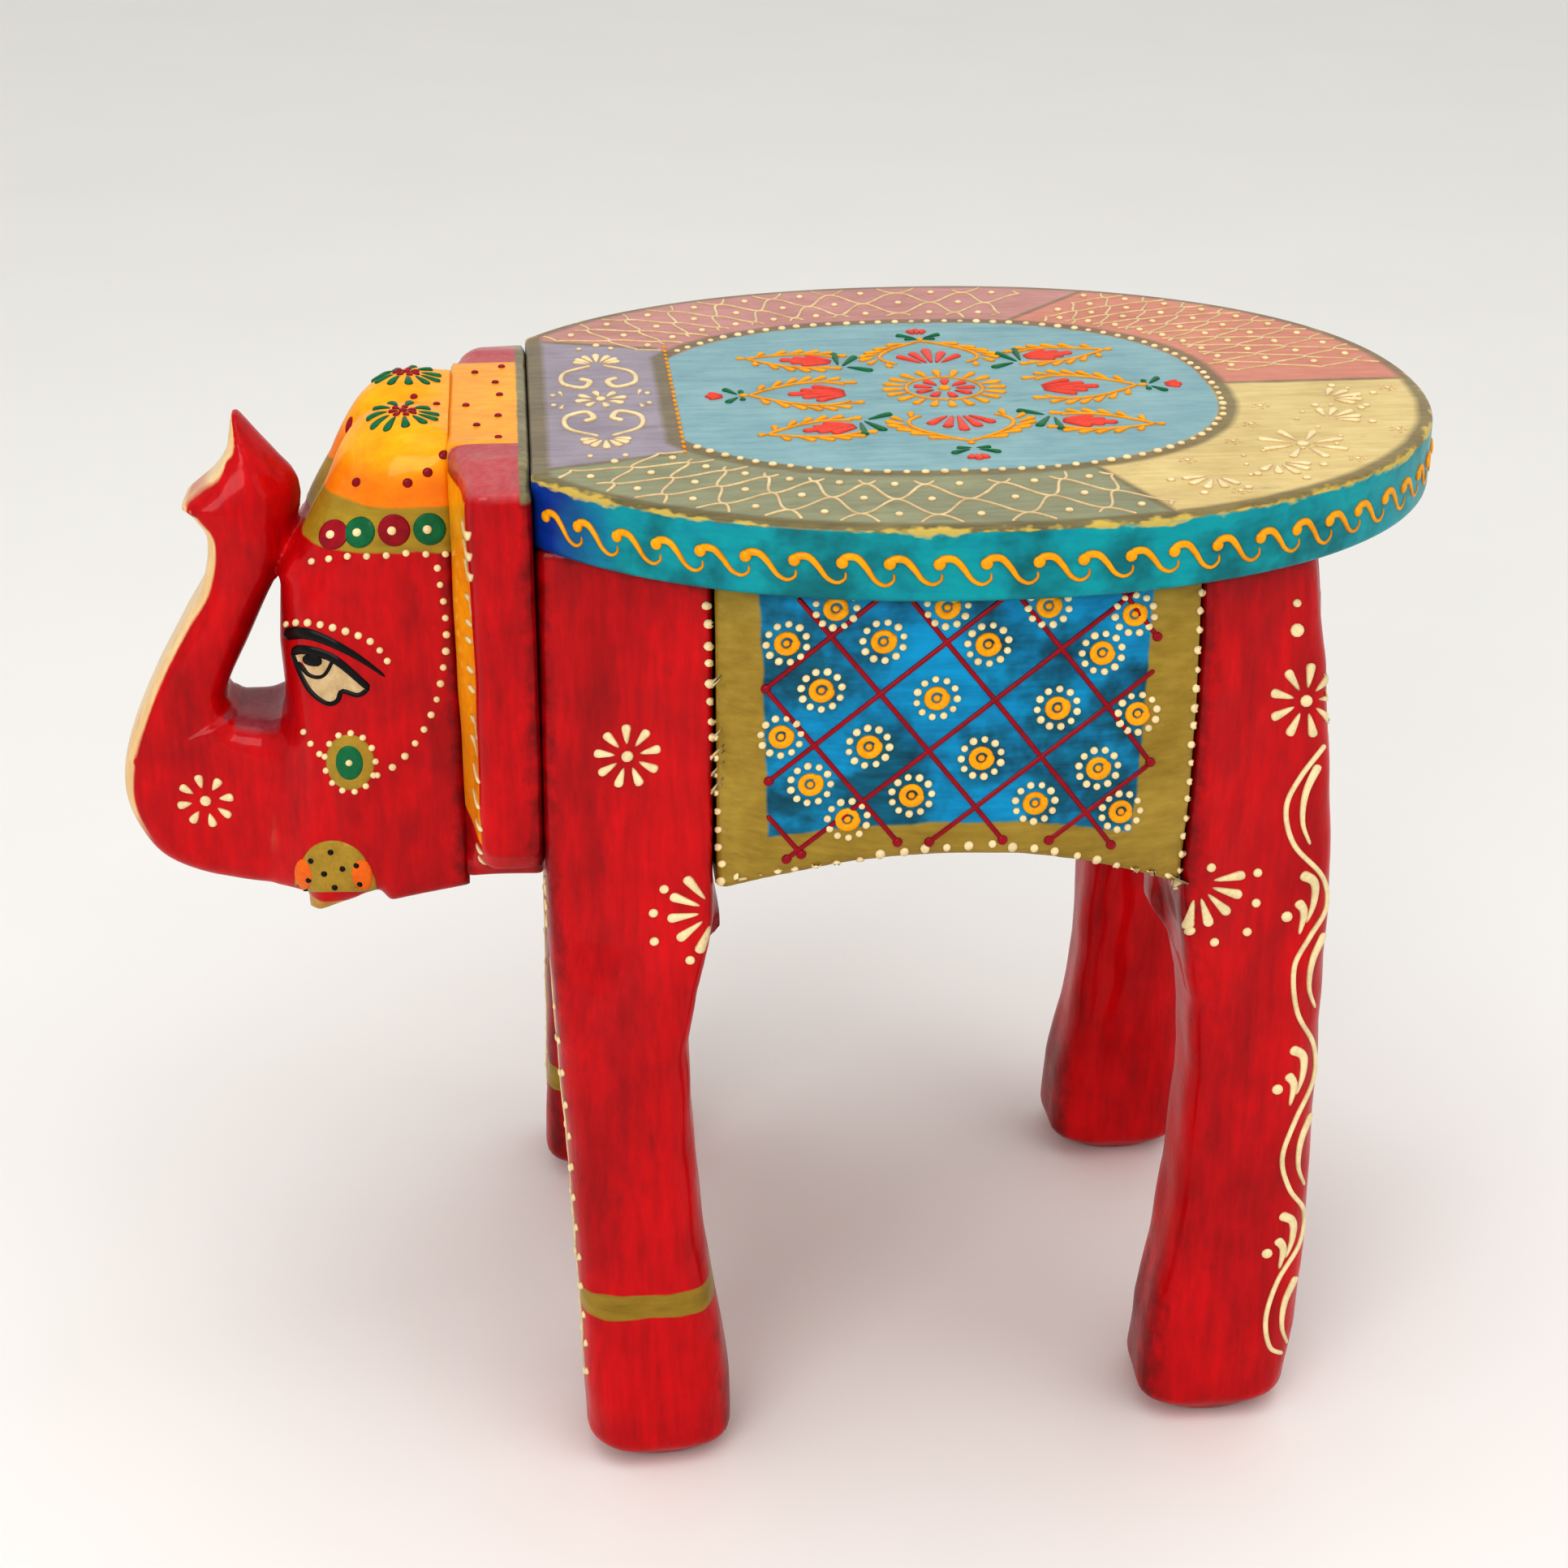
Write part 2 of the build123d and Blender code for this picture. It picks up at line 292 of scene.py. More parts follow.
def seat_paint():
    material, shader, where = start_material("seat_paint")
    x, y, z = split(where)
    sway = (where.noise(9.0, 2.0, 0.5) - 0.5) * 2.4
    grain = (1.0, 0.16, 1.0)
    side = abs(x)

    colour = brushed(where, grain, sage, sage_shade)
    far = (x + sway).inside(1.0)
    colour = colour.mixed(brushed(where, grain, rose, rose_shade), far)
    straw_edge = 125.6 + (side - 59.0) * 0.33 - y
    coral_edge = 122.4 + (side - 57.0) * 0.9 - y
    plum_edge = side - 53.5 + y * 0.31
    near_back = (straw_edge + sway).inside(1.0)
    far_back = (coral_edge + sway).inside(1.0)
    colour = colour.mixed(brushed(where, grain, straw, straw_shade), near_back * (1 - far))
    colour = colour.mixed(brushed(where, grain, coral, coral_shade), far_back * far)
    front = (plum_edge + sway).at_least(y - oval_front + sway)
    colour = colour.mixed(brushed(where, grain, plum, plum_shade), front.inside(1.0))

    # an olive line is left along every boundary, and along the glue line
    hidden = 40.0
    lines = abs(straw_edge) + far * hidden
    lines = lines.at_most(abs(coral_edge) + (1 - far) * hidden)
    lines = lines.at_most(abs(x) + (y - 150.0).inside(1.0) * hidden)
    lines = lines.at_most(abs(plum_edge) + (oval_front - 2.0 - y).inside(1.0) * hidden)
    lines = lines.at_most(y - 3.4)
    oval_power = abs(side / oval_half_width) ** oval_fullness
    oval_power = oval_power + abs((y - oval_centre) / oval_half_length) ** oval_fullness
    ring = ((oval_power ** (1 / oval_fullness)) - 1.0) * 61.0
    ring = ring.at_least(oval_front - y)
    lines = lines.at_most(abs(ring - 2.6) - 1.2)
    rim_power = abs(side / seat_half_width) ** seat_fullness
    rim_power = rim_power + abs((y - seat_centre) / seat_half_length) ** seat_fullness
    rim = (1.0 - rim_power ** (1 / seat_fullness)) * 100.0
    lines = lines.at_most(rim - 2.2)
    colour = colour.mixed(brushed(where, grain, olive, olive_shade),
                          (lines - 0.9 + sway * 0.4).inside(1.6) * 0.85)
    colour = colour.mixed(brushed(where, grain, sky_blue, sky_shade),
                          (ring - 0.6 + sway * 0.25).inside(0.8))

    # down the rim: teal, bluest at the front corners, worn to yellow at the arris
    rim_grain = (0.3, 0.3, 1.0)
    murk = where.noise(24.0, 4.0, 0.6).between(0.46, 0.6)
    edge = brushed(where, rim_grain, teal, (0.001, 0.25, 0.31))
    edge = edge.mixed(brushed(where, rim_grain, (0.002, 0.20, 0.23), teal_shade), murk)
    edge = edge.mixed(brushed(where, rim_grain, cobalt, (0.004, 0.04, 0.2)),
                      (y - 12.0 + sway * 3.0).inside(14.0))
    down = (z - seat_top + 1.1 + (where.noise(3.0, 2.0, 0.6) - 0.5) * 1.4).inside(0.5)
    colour = colour.mixed(edge, down)
    chips = (where.stretched(0.4, 0.4, 1.0).noise(5.0, 3.0, 0.7) - 0.47) * 6.0
    wear = (abs(z - seat_top + 0.9) - chips).inside(0.6)
    wear = wear * (rim - 1.6).inside(0.8)
    colour = colour.mixed((*worn_yellow, 1), wear * 0.85)
    seal(shader, where, colour, grain, gloss=0.36, lumps=0.25, stain=0.35, stain_rgb=(0.08, 0.06, 0.03))
    return material


seat = seat_mesh()
seat.data.materials.append(seat_paint())
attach(seat, "root")
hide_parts("seat_board", "seat_plugs")


# ---------------------------------------------------------------------------
# Front and rear leg boards: each leg, its shoulder and half the bridge between
# the legs are one carved mango-wood board. Red paint, rubbed with a dark glaze,
# with painted shade along the joints and under the seat, lacquered; a gold band
# round each front ankle.
# ---------------------------------------------------------------------------

front_board_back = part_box("front_leg_left")[1].y / MM - glue_y


def from_glue_line(corner):
    """A corner of a CAD part's box, in millimetres with y counted from the glue line."""
    return corner / MM - Vector((0, glue_y, 0))


belly_low, belly_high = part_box("belly_block")
belly_front, belly_back = belly_low.y / MM - glue_y, belly_high.y / MM - glue_y
bridge_crown, bridge_spring, bridge_half_span = 172.0, 138.0, 50.0
foot_chamfer = 6.0


def blend_max(a, b, size):
    """The larger of two distances, with the corner between them rounded."""
    near = np.clip(1 - np.abs(a - b) / size, 0, 1)
    return np.maximum(a, b) + near * near * size / 4


def blend_min(a, b, size):
    return -blend_max(-a, -b, size)


def chisel(x, y, z, depth=0.35):
    """The shallow waves that a hand plane and gouge leave."""
    broad = np.sin(x * 0.17 + 0.9 * np.sin(z * 0.043) + 1.3) * np.sin(z * 0.061 + y * 0.11)
    close = np.sin(x * 0.31 + z * 0.12) * np.sin(y * 0.27 - z * 0.15 + 0.7)
    return depth * (broad + 0.5 * close)


def carve(name, field, low, high, step=1.2):
    """A piece whose surface is where field(x, y, z), a distance, is zero."""
    low, high = np.array(low, float), np.array(high, float)
    axes = [np.arange(a - 2 * step, b + 2 * step, step) for a, b in zip(low, high)]
    x, y, z = np.meshgrid(*axes, indexing="ij", sparse=True)
    shape = tuple(len(axis) for axis in axes)
    grid = openvdb.FloatGrid(20.0)
    grid.copyFromArray(np.broadcast_to(field(x, y, z), shape).astype(np.float32))
    points, _, quads = grid.convertToPolygons(0.0, 0.0)
    points = points * step + low - 2 * step + np.array([0, glue_y, 0])
    return piece_from(name, (points * MM).tolist(), quads.tolist())


def leg_field(side, stations, y_front, bridge_back):
    """One leg board; a station is (z, inner x, outer x in front, outer x behind, front y, back y)."""
    heights = [s[0] for s in stations]

    def level(z, column):
        return np.interp(z, heights, [s[column] for s in stations])

    def field(x, y, z):
        x = x * side
        x_in, x_front, x_back = level(z, 1), level(z, 2), level(z, 3)
        front, back = level(z, 4), level(z, 5)
        outer = x_front + (x_back - x_front) * np.clip((y - front) / (back - front), 0, 1)
        roundness = np.interp(z, [0, 110, 145, 205], [13, 13, 7, 5])
        post = blend_max(x - outer, x_in - x, roundness)
        post = blend_max(post, blend_max(front - y, y - back, 1.0), roundness)
        post = blend_max(post, (post + foot_chamfer - z) * 0.7, 1.5)
        arch = np.sqrt(np.clip(1 - (x / bridge_half_span) ** 2, 0, 1))
        arch = bridge_spring + (bridge_crown - bridge_spring) * arch
        bridge = np.maximum(arch - z, x - bridge_half_span - 6)
        bridge = np.maximum(bridge, blend_max(y_front - y, y - bridge_back, 4.0))
        whole = blend_min(post, bridge, 12.0) + chisel(x, y, z)
        whole = blend_max(whole, z - seat_underside, 1.0)
        whole = np.maximum(whole, -z)
        whole = blend_max(whole, y_front - y, 2.0)
        whole = blend_max(whole, -x, 1.0)
        return whole

    return field


front_stations = [
    (0, 50, 86, 86, 5.0, 41.0), (20, 49.5, 86, 86, 4.8, 40.8), (36, 50.2, 85, 85, 4.6, 38.8),
    (54, 51, 83.5, 84, 4.2, 36.2), (74, 51.2, 81.5, 83, 3.4, 34.2), (96, 51, 78.5, 82, 2.0, 32.8),
    (114, 50.5, 75, 81.2, 1.0, 32.6), (128, 49.5, 70.5, 80.6, 0.3, 34.4),
    (140, 48.2, 66.5, 80.2, 0, 37.4), (150, 47, 64, 80.2, 0, 39), (178, 44, 59, 82, 0, 39),
    (205, 42, 55.5, 83.5, 0, 39), (233, 40, 51.5, 82, 0, 39),
]
rear_stations = [
    (0, 46.5, 80, 80, 145.4, 184), (24, 46.5, 80, 80, 147, 186), (42, 47, 79.8, 79.2, 150.2, 186.6),
    (64, 47.6, 79.5, 78.2, 152.6, 186.9), (100, 48, 80, 77, 153.4, 186.8),
    (120, 47.6, 81.2, 76.4, 152, 186.2), (136, 46.6, 83.2, 76, 149, 185.5),
    (152, 45, 85.5, 76, 146, 184.5), (178, 43.5, 87.6, 75.6, 146, 182.6), (205, 42, 89, 75, 146, 180),
    (233, 40, 87.5, 73, 146, 175.5),
]


right_foot_lean = 8.0    # the right foreleg was cut standing a little further forward


def front_leg_field(side):
    body = leg_field(side, front_stations, 0.0, belly_front)

    def field(x, y, z):
        if side < 0:
            y = y + right_foot_lean * np.clip(1 - z / 140.0, 0, 1)
        return blend_max(body(x, y, z), y - np.interp(z, [60, 150], [60, belly_front]), 2.0)

    return field


def rear_leg_field(side):
    return leg_field(side, rear_stations, 145.0, 176.0)


red, red_shade, red_deep = (0.60, 0.001, 0.006), (0.38, 0.001, 0.005), (0.15, 0.001, 0.004)
gold, gold_shade = (0.36, 0.24, 0.03), (0.22, 0.14, 0.015)


def red_paint(name, grain, shade_at_seat_and_floor=False):
    """Red brushed over red, thin enough in places for the darker coat to show."""
    material, shader, where = start_material(name)
    colour = brushed(where, grain, red, red_shade)
    depth = where.stretched(1.0, 1.0, 0.3).noise(18.0, 5.0, 0.65).between(0.46, 0.74)
    colour = colour.mixed((*red_deep, 1), depth * 0.6)
    x, y, z = split(where)
    # darker along the joints between the boards, and on the legs just under the seat and round the bottom
    # of each foot: painted shade in those corners, together with the dark glaze caught in the joints
    joints_and_shaded_edges = abs(y).at_most(abs(y - front_board_back))
    joints_and_shaded_edges = joints_and_shaded_edges.at_most(abs(y - belly_back - 1.0)).at_most(abs(y + 19.0))
    if shade_at_seat_and_floor:
        joints_and_shaded_edges = joints_and_shaded_edges.at_most(abs(z - seat_underside)).at_most(z + 1.0)
    dark = (joints_and_shaded_edges - where.noise(6.0, 4.0, 0.7).between(0.3, 0.75) * 5.0 + 0.5).inside(4.0)
    return material, shader, where, colour.mixed((0.05, 0.002, 0.004, 1), dark * 0.6)


def leg_paint(name, band_low, band_high):
    material, shader, where, colour = red_paint(name, (1.0, 1.0, 0.12), True)
    if band_high > band_low:
        x, y, z = split(where)
        waver = (where.noise(14.0, 2.0, 0.5) - 0.5) * 3.0
        middle = (band_low + band_high) / 2
        band = (abs(z - middle - (y - 20.0) * 0.03 + waver) - (band_high - band_low) / 2).inside(0.4)
        colour = colour.mixed(brushed(where, (0.2, 0.2, 1.0), gold, gold_shade), band)
    seal(shader, where, colour, (1.0, 1.0, 0.12), gloss=0.27, lumps=0.45, stain=0.55)
    return material


legs = {}
for node, side, band in (("front_leg_left", 1, (43.5, 50.0)), ("front_leg_right", -1, (29.0, 36.0)),
                         ("rear_leg_left", 1, (0, 0)), ("rear_leg_right", -1, (0, 0))):
    low, high = (from_glue_line(corner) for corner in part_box(node))
    if node == "front_leg_right":
        low -= Vector((0, right_foot_lean, 0))
    field = front_leg_field(side) if node.startswith("front") else rear_leg_field(side)
    leg = carve("carved_" + node, field, low, high)
    leg.data.materials.append(leg_paint("red_" + node, *band))
    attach(leg, "root")
    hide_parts(node)
    legs[node] = leg


# ---------------------------------------------------------------------------
# Belly block: the barrel between the leg boards, doweled and glued to both,
# arched below and painted as a blue saddle cloth with a broad gold border.
# ---------------------------------------------------------------------------

belly_crown, belly_edge = 169.0, 154.0
panel_front, panel_back = 48.5, 134.0


def belly_field(x, y, z):
    half_x = np.interp(z, [150, 180, 205, 233], [89.0, 94.0, 95.6, 93.5])
    half_y = half_x - seat_half_width + seat_half_length
    around = (np.abs(x / half_x) ** seat_fullness + np.abs((y - seat_centre) / half_y) ** seat_fullness)
    barrel = (around ** (1 / seat_fullness) - 1) * half_x
    middle = (belly_front + belly_back) / 2
    arch = belly_crown - (belly_crown - belly_edge) * ((y - middle) / (belly_back - middle)) ** 2
    whole = blend_max(barrel + chisel(x, y, z), arch - z, 4.0)
    whole = blend_max(whole, z - seat_underside, 1.0)
    return blend_max(blend_max(whole, belly_front - y, 0.8), y - belly_back, 0.8)


def cloth_paint():
    material, shader, where = start_material("saddle_cloth_paint")
    x, y, z = split(where)
    waver = (where.noise(8.0, 2.0, 0.5) - 0.5) * 1.6
    grain = (1.0, 0.1, 1.0)
    gold_coat = brushed(where, grain, (0.40, 0.28, 0.05), (0.26, 0.17, 0.02))
    murk = where.noise(22.0, 4.0, 0.6).between(0.46, 0.6)
    blue_coat = brushed(where, grain, (0.0, 0.30, 0.54), (0.0, 0.19, 0.35), 1.4)
    blue_coat = blue_coat.mixed(brushed(where, grain, (0.001, 0.14, 0.22), (0.001, 0.06, 0.10), 1.4), murk)
    middle = (panel_front + panel_back) / 2
    arch = 178.6 - (abs(y - middle) / 42.0) ** 2.0 * 6.6
    panel = (abs(y - middle) - (panel_back - panel_front) / 2 + (z - 230.0) * -0.03).at_least(arch - z)
    colour = gold_coat.mixed(blue_coat, (panel + waver).inside(0.7))
    inner = (abs(x) - 60.0).inside(6.0)
    colour = colour.mixed(brushed(where, (0.15, 1.0, 1.0), red_shade, red_deep), inner)
    seal(shader, where, colour, grain, gloss=0.27, lumps=0.35, stain=0.35)
    return material


belly = carve("carved_belly", belly_field, from_glue_line(belly_low), from_glue_line(belly_high), 1.4)
belly.data.materials.append(cloth_paint())
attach(belly, "root")
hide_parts("belly_block")


# ---------------------------------------------------------------------------
# Ear board: one board across the front, glued and screwed to the seat and the
# front legs. Its two ends are the ears; the middle backs the head.
# ---------------------------------------------------------------------------

ear_low, ear_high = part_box("ear_board")
ear_thickness = (ear_high.y - ear_low.y) / MM
ear_half_width = ear_high.x / MM
head_half_width = 33.0
ear_outline = [
    (-44, 250.4), (44, 250.4), (60.5, 247.0), (62, 226), (60.5, 180), (59, 158), (55, 153), (40, 150),
    (33, 140.5), (18, 134), (-18, 134), (-33, 140.5), (-40, 150), (-55, 153), (-59, 158), (-60.5, 180),
    (-62, 226), (-60.5, 247.0),
]


def outline_distance(outline, u, v):
    """Signed distance from a closed outline, negative inside."""
    corners = np.array(outline, float)
    u, v = np.broadcast_arrays(u, v)
    nearest = np.full(u.shape, 1e9)
    inside = np.zeros(u.shape, bool)
    for (u0, v0), (u1, v1) in zip(corners, np.roll(corners, -1, axis=0)):
        du, dv = u1 - u0, v1 - v0
        along = np.clip(((u - u0) * du + (v - v0) * dv) / (du * du + dv * dv + 1e-12), 0, 1)
        nearest = np.minimum(nearest, (u - u0 - along * du) ** 2 + (v - v0 - along * dv) ** 2)
        crosses = (v0 > v) != (v1 > v)
        inside ^= crosses & (u < u0 + (v - v0) * du / (dv if dv else 1e-12))
    return np.where(inside, -np.sqrt(nearest), np.sqrt(nearest))


def ear_field(x, y, z):
    shape = outline_distance(ear_outline, x, z)
    thickness = np.interp(np.abs(x), [head_half_width, ear_half_width], [ear_thickness, 14.0])
    hollow = 2.2 * np.exp(-((np.abs(x) - 47) / 7.0) ** 2 - ((z - 205) / 34.0) ** 2)
    bevel = np.where(np.abs(x) > head_half_width + 1, 5.0, 0.8)
    whole = blend_max(shape, -thickness + hollow - y, bevel) + chisel(x, y, z, 0.25) * (np.abs(x) > 30)
    return blend_max(whole, y, 2.0)


def ear_paint():
    """Yellow over the crown and in the hollow of each ear, red round the edges."""
    material, shader, where, colour = red_paint("ear_paint", (1.0, 1.0, 0.14))
    x, y, z = split(where)
    waver = (where.noise(7.0, 2.0, 0.5) - 0.5) * 1.6
    # painted highlight: the top faces of the ears are paled towards pink, where they catch the light from
    # above
    painted_top_highlight = brushed(where, (1.0, 1.0, 0.5), (0.50, 0.19, 0.19), (0.42, 0.06, 0.08))
    colour = colour.mixed(painted_top_highlight, (246.0 - z + waver).inside(2.5) * 0.7)
    crown = (abs(x) - head_half_width - 0.6 + waver * 0.4).inside(0.5) * (228.0 - z).inside(2.0)
    yellow_coat = brushed(where, (1.0, 0.3, 1.0), (0.86, 0.42, 0.012), (0.72, 0.27, 0.006))
    colour = colour.mixed(yellow_coat, crown)
    face = where.node("ShaderNodeNewGeometry", {}, {}, "Normal")
    facing = (split(face)[1] + 0.72).inside(0.12)
    inner = (abs(abs(x) - 45.0) - 11.5 + waver).at_least(abs(z - 202.0) - 42.0 + waver).inside(0.8)
    colour = colour.mixed(yellow_coat, facing * inner)
    olive_strip = (-2.6 - y + waver * 0.4).inside(0.5) * (245.0 - z).inside(1.0)
    colour = colour.mixed(brushed(where, (1.0, 0.3, 1.0), (0.30, 0.27, 0.15), olive_shade), olive_strip)
    seal(shader, where, colour, (1.0, 1.0, 0.14), gloss=0.25, lumps=0.4, stain=0.45)
    return material


ears = carve("carved_ears", ear_field, from_glue_line(ear_low), from_glue_line(ear_high), 1.0)
ears.data.materials.append(ear_paint())
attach(ears, "root")
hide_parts("ear_board")


# ---------------------------------------------------------------------------
# Head block: head and raised trunk carved from one block, with the trunk's tip
# touching the brow so that a loop is left between them. Yellow double-domed cap
# over a gold band, red face, pale underside to the trunk.
# ---------------------------------------------------------------------------

trunk_reach = glue_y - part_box("head_block")[0].y / MM


def smooth_path(points, per_span=8):
    """A smooth line through the points, evenly divided between each pair."""
    track = np.array(points, float)
    padded = np.vstack([2 * track[0] - track[1], track, 2 * track[-1] - track[-2]])
    path = []
    for a, b, c, d in zip(padded, padded[1:], padded[2:], padded[3:]):
        for t in np.linspace(0, 1, per_span, endpoint=False):
            bend, twist = 2 * a - 5 * b + 4 * c - d, 3 * b - a - 3 * c + d
            path.append(0.5 * (2 * b + (c - a) * t + bend * t ** 2 + twist * t ** 3))
    return [tuple(p) for p in path] + [tuple(track[-1])]


crown_line = smooth_path([
    (-15, 250.8), (-21, 251.6), (-29, 253.6), (-37, 252.2), (-43.6, 246.5), (-50.2, 233.5),
    (-55.9, 221.5),
])
tip_line = [(-55.9, 223.0), (-54.6, 228.0), (-55.2, 232.8)]
tip_line += smooth_path([(-56.6, 235.4), (-62.6, 242.4), (-69.0, 249.6), (-70.4, 248.6)], 4)
mouth_line = smooth_path([(-71.6, 241.0), (-75.5, 235.0), (-83.0, 228.6)], 5)
trunk_line = smooth_path([
    (-80.2, 226.4), (-77.4, 220.5), (-79.6, 208.5), (-86.0, 197.5), (-94.5, 182.5), (-101.0, 167.5),
    (-102.8, 156.0), (-100.6, 146.5), (-94.0, 137.6), (-82.0, 132.4), (-66.0, 131.4),
])
chin_line = [
    (-58.5, 132.4), (-58.6, 128.4), (-56.0, 128.0), (-49.5, 130.8), (-44.5, 133.4), (-41.0, 134.6),
    (-38.4, 131.6), (-15, 136.5),
]
head_outline = crown_line + tip_line + mouth_line + trunk_line + chin_line
loop_front = [
    (-60.6, 212.0), (-64.4, 205.5), (-70.0, 194.0), (-75.0, 184.0), (-76.2, 179.0), (-73.5, 175.4),
]
loop_back = [(-66.0, 174.4), (-62.6, 175.8), (-61.6, 182.0), (-61.8, 196.0)]
loop_outline = smooth_path(loop_front) + smooth_path(loop_back)


def head_field(x, y, z):
    shape = outline_distance(head_outline, y, z)
    loop = outline_distance(loop_outline, y, z)
    side = np.abs(x)
    width = np.interp(y, [-104, -90, -78, -68, -62, -55, -47, -36, -19],
                      [12.0, 13.2, 14.4, 16.5, 20, 26.5, 30.3, 31.8, 32.6])
    low_face = np.clip((168 - z) / 20, 0, 1) * np.clip((y + 80) / 22, 0, 1)
    width = width + 3.0 * low_face * np.clip((-50 - y) / 12, 0, 1)
    width = width + 1.2 * np.exp(-((y + 46) / 9.0) ** 2 - ((z - 172) / 10.0) ** 2)
    width = width - 1.6 * np.exp(-((y + 50) / 7.0) ** 2 - ((z - 194) / 6.0) ** 2)
    parting = np.interp(z, [158, 180, 212, 222, 240], [-112, -68, -61.5, -55.8, -51.5])
    trunk_width = np.interp(z, [160, 180, 205, 222, 236, 250], [12.8, 13.2, 13.8, 13.6, 12.0, 8.5])
    is_trunk = np.clip((parting - y) / 1.2 + 0.5, 0, 1)
    width = width + (trunk_width - width) * is_trunk
    cap = np.clip((z - 222) / 14, 0, 1) * (1 - is_trunk)
    valley = 7.5 * np.exp(-(x / 6.0) ** 2) * np.clip((-19 - y) / 22, 0, 1) * cap
    forward = np.clip((-19 - y) / 24, 0, 1)
    cheek = 8.0 * np.clip((y + 72) / 12, 0, 1) * (1 - cap) * forward * np.clip((z - 168) / 12, 0, 1)
    roundness = 7.0 + (2.0 + 17.0 * forward) * cap + cheek
    whole = blend_max(shape + valley, side - width, roundness)
    whole = blend_max(whole, -loop, 9.0) + chisel(x, y, z, 0.22)
    return blend_max(whole, y + ear_thickness - 0.4, 0.3)


def head_paint():
    material, shader, where, colour = red_paint("head_paint", (1.0, 1.0, 0.2))
    x, y, z = split(where)
    waver = (where.noise(7.0, 2.0, 0.5) - 0.5) * 1.4
    yellow_coat = brushed(where, (1.0, 0.25, 1.0), (0.90, 0.45, 0.008), (0.84, 0.30, 0.004))
    glow = brushed(where, (1.0, 0.3, 1.0), (0.80, 0.20, 0.003), (0.72, 0.15, 0.003))
    yellow_coat = yellow_coat.mixed(glow, (z - 242.5 + waver * 2.0).inside(5.0) * 0.75)
    gold_coat = brushed(where, (0.2, 0.2, 1.0), (0.42, 0.29, 0.03), (0.29, 0.19, 0.02))
    head = ((z - 222.0) * 0.26 - 55.6 - y).inside(0.5)
    colour = colour.mixed(gold_coat, (224.2 - z + waver).inside(0.5) * head)
    colour = colour.mixed(yellow_coat, (235.0 - z + waver * 0.7).inside(0.7) * head)
    grain_round = (1.0, 1.0, 1.0)
    facing = split(where.node("ShaderNodeNewGeometry", {}, {}, "Normal"))
    front = (facing[1] + 0.62 + waver * 0.05).inside(0.12) * (y + 66.0).inside(2.0)
    front = front * (146.0 - z).inside(8.0)
    cream_coat = brushed(where, (1.0, 1.0, 0.3), (0.80, 0.60, 0.33), (0.66, 0.42, 0.20))
    colour = colour.mixed(cream_coat, front)
    lip = (z - 132.2).inside(0.6) * (abs(y + 54.0) - 5.5).inside(0.6)
    colour = colour.mixed(brushed(where, grain_round, (0.55, 0.33, 0.06), (0.40, 0.20, 0.03)), lip)
    floor_of_loop = (0.75 - facing[2]).inside(0.2) * (abs(z - 177.0) - 5.0).inside(1.0)
    floor_of_loop = floor_of_loop * (abs(y + 68.0) - 9.0).inside(1.0)
    colour = colour.mixed(brushed(where, grain_round, (0.36, 0.12, 0.14), (0.22, 0.05, 0.07)),
                          floor_of_loop * 0.8)
    seal(shader, where, colour, (1.0, 0.5, 0.4), gloss=0.3, lumps=0.35, stain=0.4)
    return material


head = carve("carved_head", head_field, (-34, -trunk_reach - 1, 125), (34, -ear_thickness, 255), 0.9)
head.data.materials.append(head_paint())
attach(head, "root")
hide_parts("head_block")


# ---------------------------------------------------------------------------
# Dowels and screws: beech dowels glued across the joints between the boards, and
# zinc-plated wood screws down through the seat and back through the ear board.
# ---------------------------------------------------------------------------

beech, beech_shade, beech_fleck = (0.56, 0.36, 0.19), (0.40, 0.23, 0.10), (0.16, 0.08, 0.03)
zinc, zinc_shade, zinc_stain = (0.52, 0.50, 0.45), (0.36, 0.34, 0.31), (0.14, 0.11, 0.08)


def dowel_wood(name, grain):
    """Bare beech: straight fibres along the dowel, with short dark flecks."""
    material, shader, where = start_material(name)
    flecks = where.stretched(*grain).noise(0.8, 2.0, 0.5).between(0.6, 0.7)
    colour = brushed(where, grain, beech, beech_shade).mixed((*beech_fleck, 1), flecks * 0.6)
    fibres = where.stretched(*grain).noise(0.5, 4.0, 0.6)
    feed(shader, colour, fibres - flecks * 0.3, 0.4, 0.2, 0.55 + fibres * 0.3)
    return material


def plated_steel(name, grain):
    """Plated steel: fine marks round the shank, and a dull bloom in patches."""
    material, shader, where = start_material(name)
    bloom = where.noise(2.5, 4.0, 0.6).between(0.45, 0.7)
    colour = brushed(where, grain, zinc, zinc_shade).mixed((*zinc_stain, 1), bloom * 0.4)
    marks = where.stretched(*grain).noise(0.2, 3.0, 0.6)
    feed(shader, colour, marks, 0.3, 0.1, 0.28 + bloom * 0.3 + marks * 0.1)
    shader.inputs["Metallic"].default_value = 1.0
    return material


for node, finish, grain in (("belly_dowels", dowel_wood, (1.0, 0.1, 1.0)),
                            ("head_dowels", dowel_wood, (1.0, 0.1, 1.0)),
                            ("leg_dowels", dowel_wood, (0.1, 1.0, 1.0)),
                            ("seat_screws", plated_steel, (0.2, 0.2, 1.0)),
                            ("ear_board_screws", plated_steel, (0.2, 1.0, 0.2))):
    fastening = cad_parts[node].data
    fastening.materials.clear()
    fastening.materials.append(finish(node + "_finish", grain))


# ---------------------------------------------------------------------------
# Raised paint on the seat: thick paint squeezed from a cone in dots, threads
# and petals on the dry ground colours, then lacquered with them. A blossom and
# leaves fill the oval; nets and sprays fill the panels; waves run round the rim.
# ---------------------------------------------------------------------------


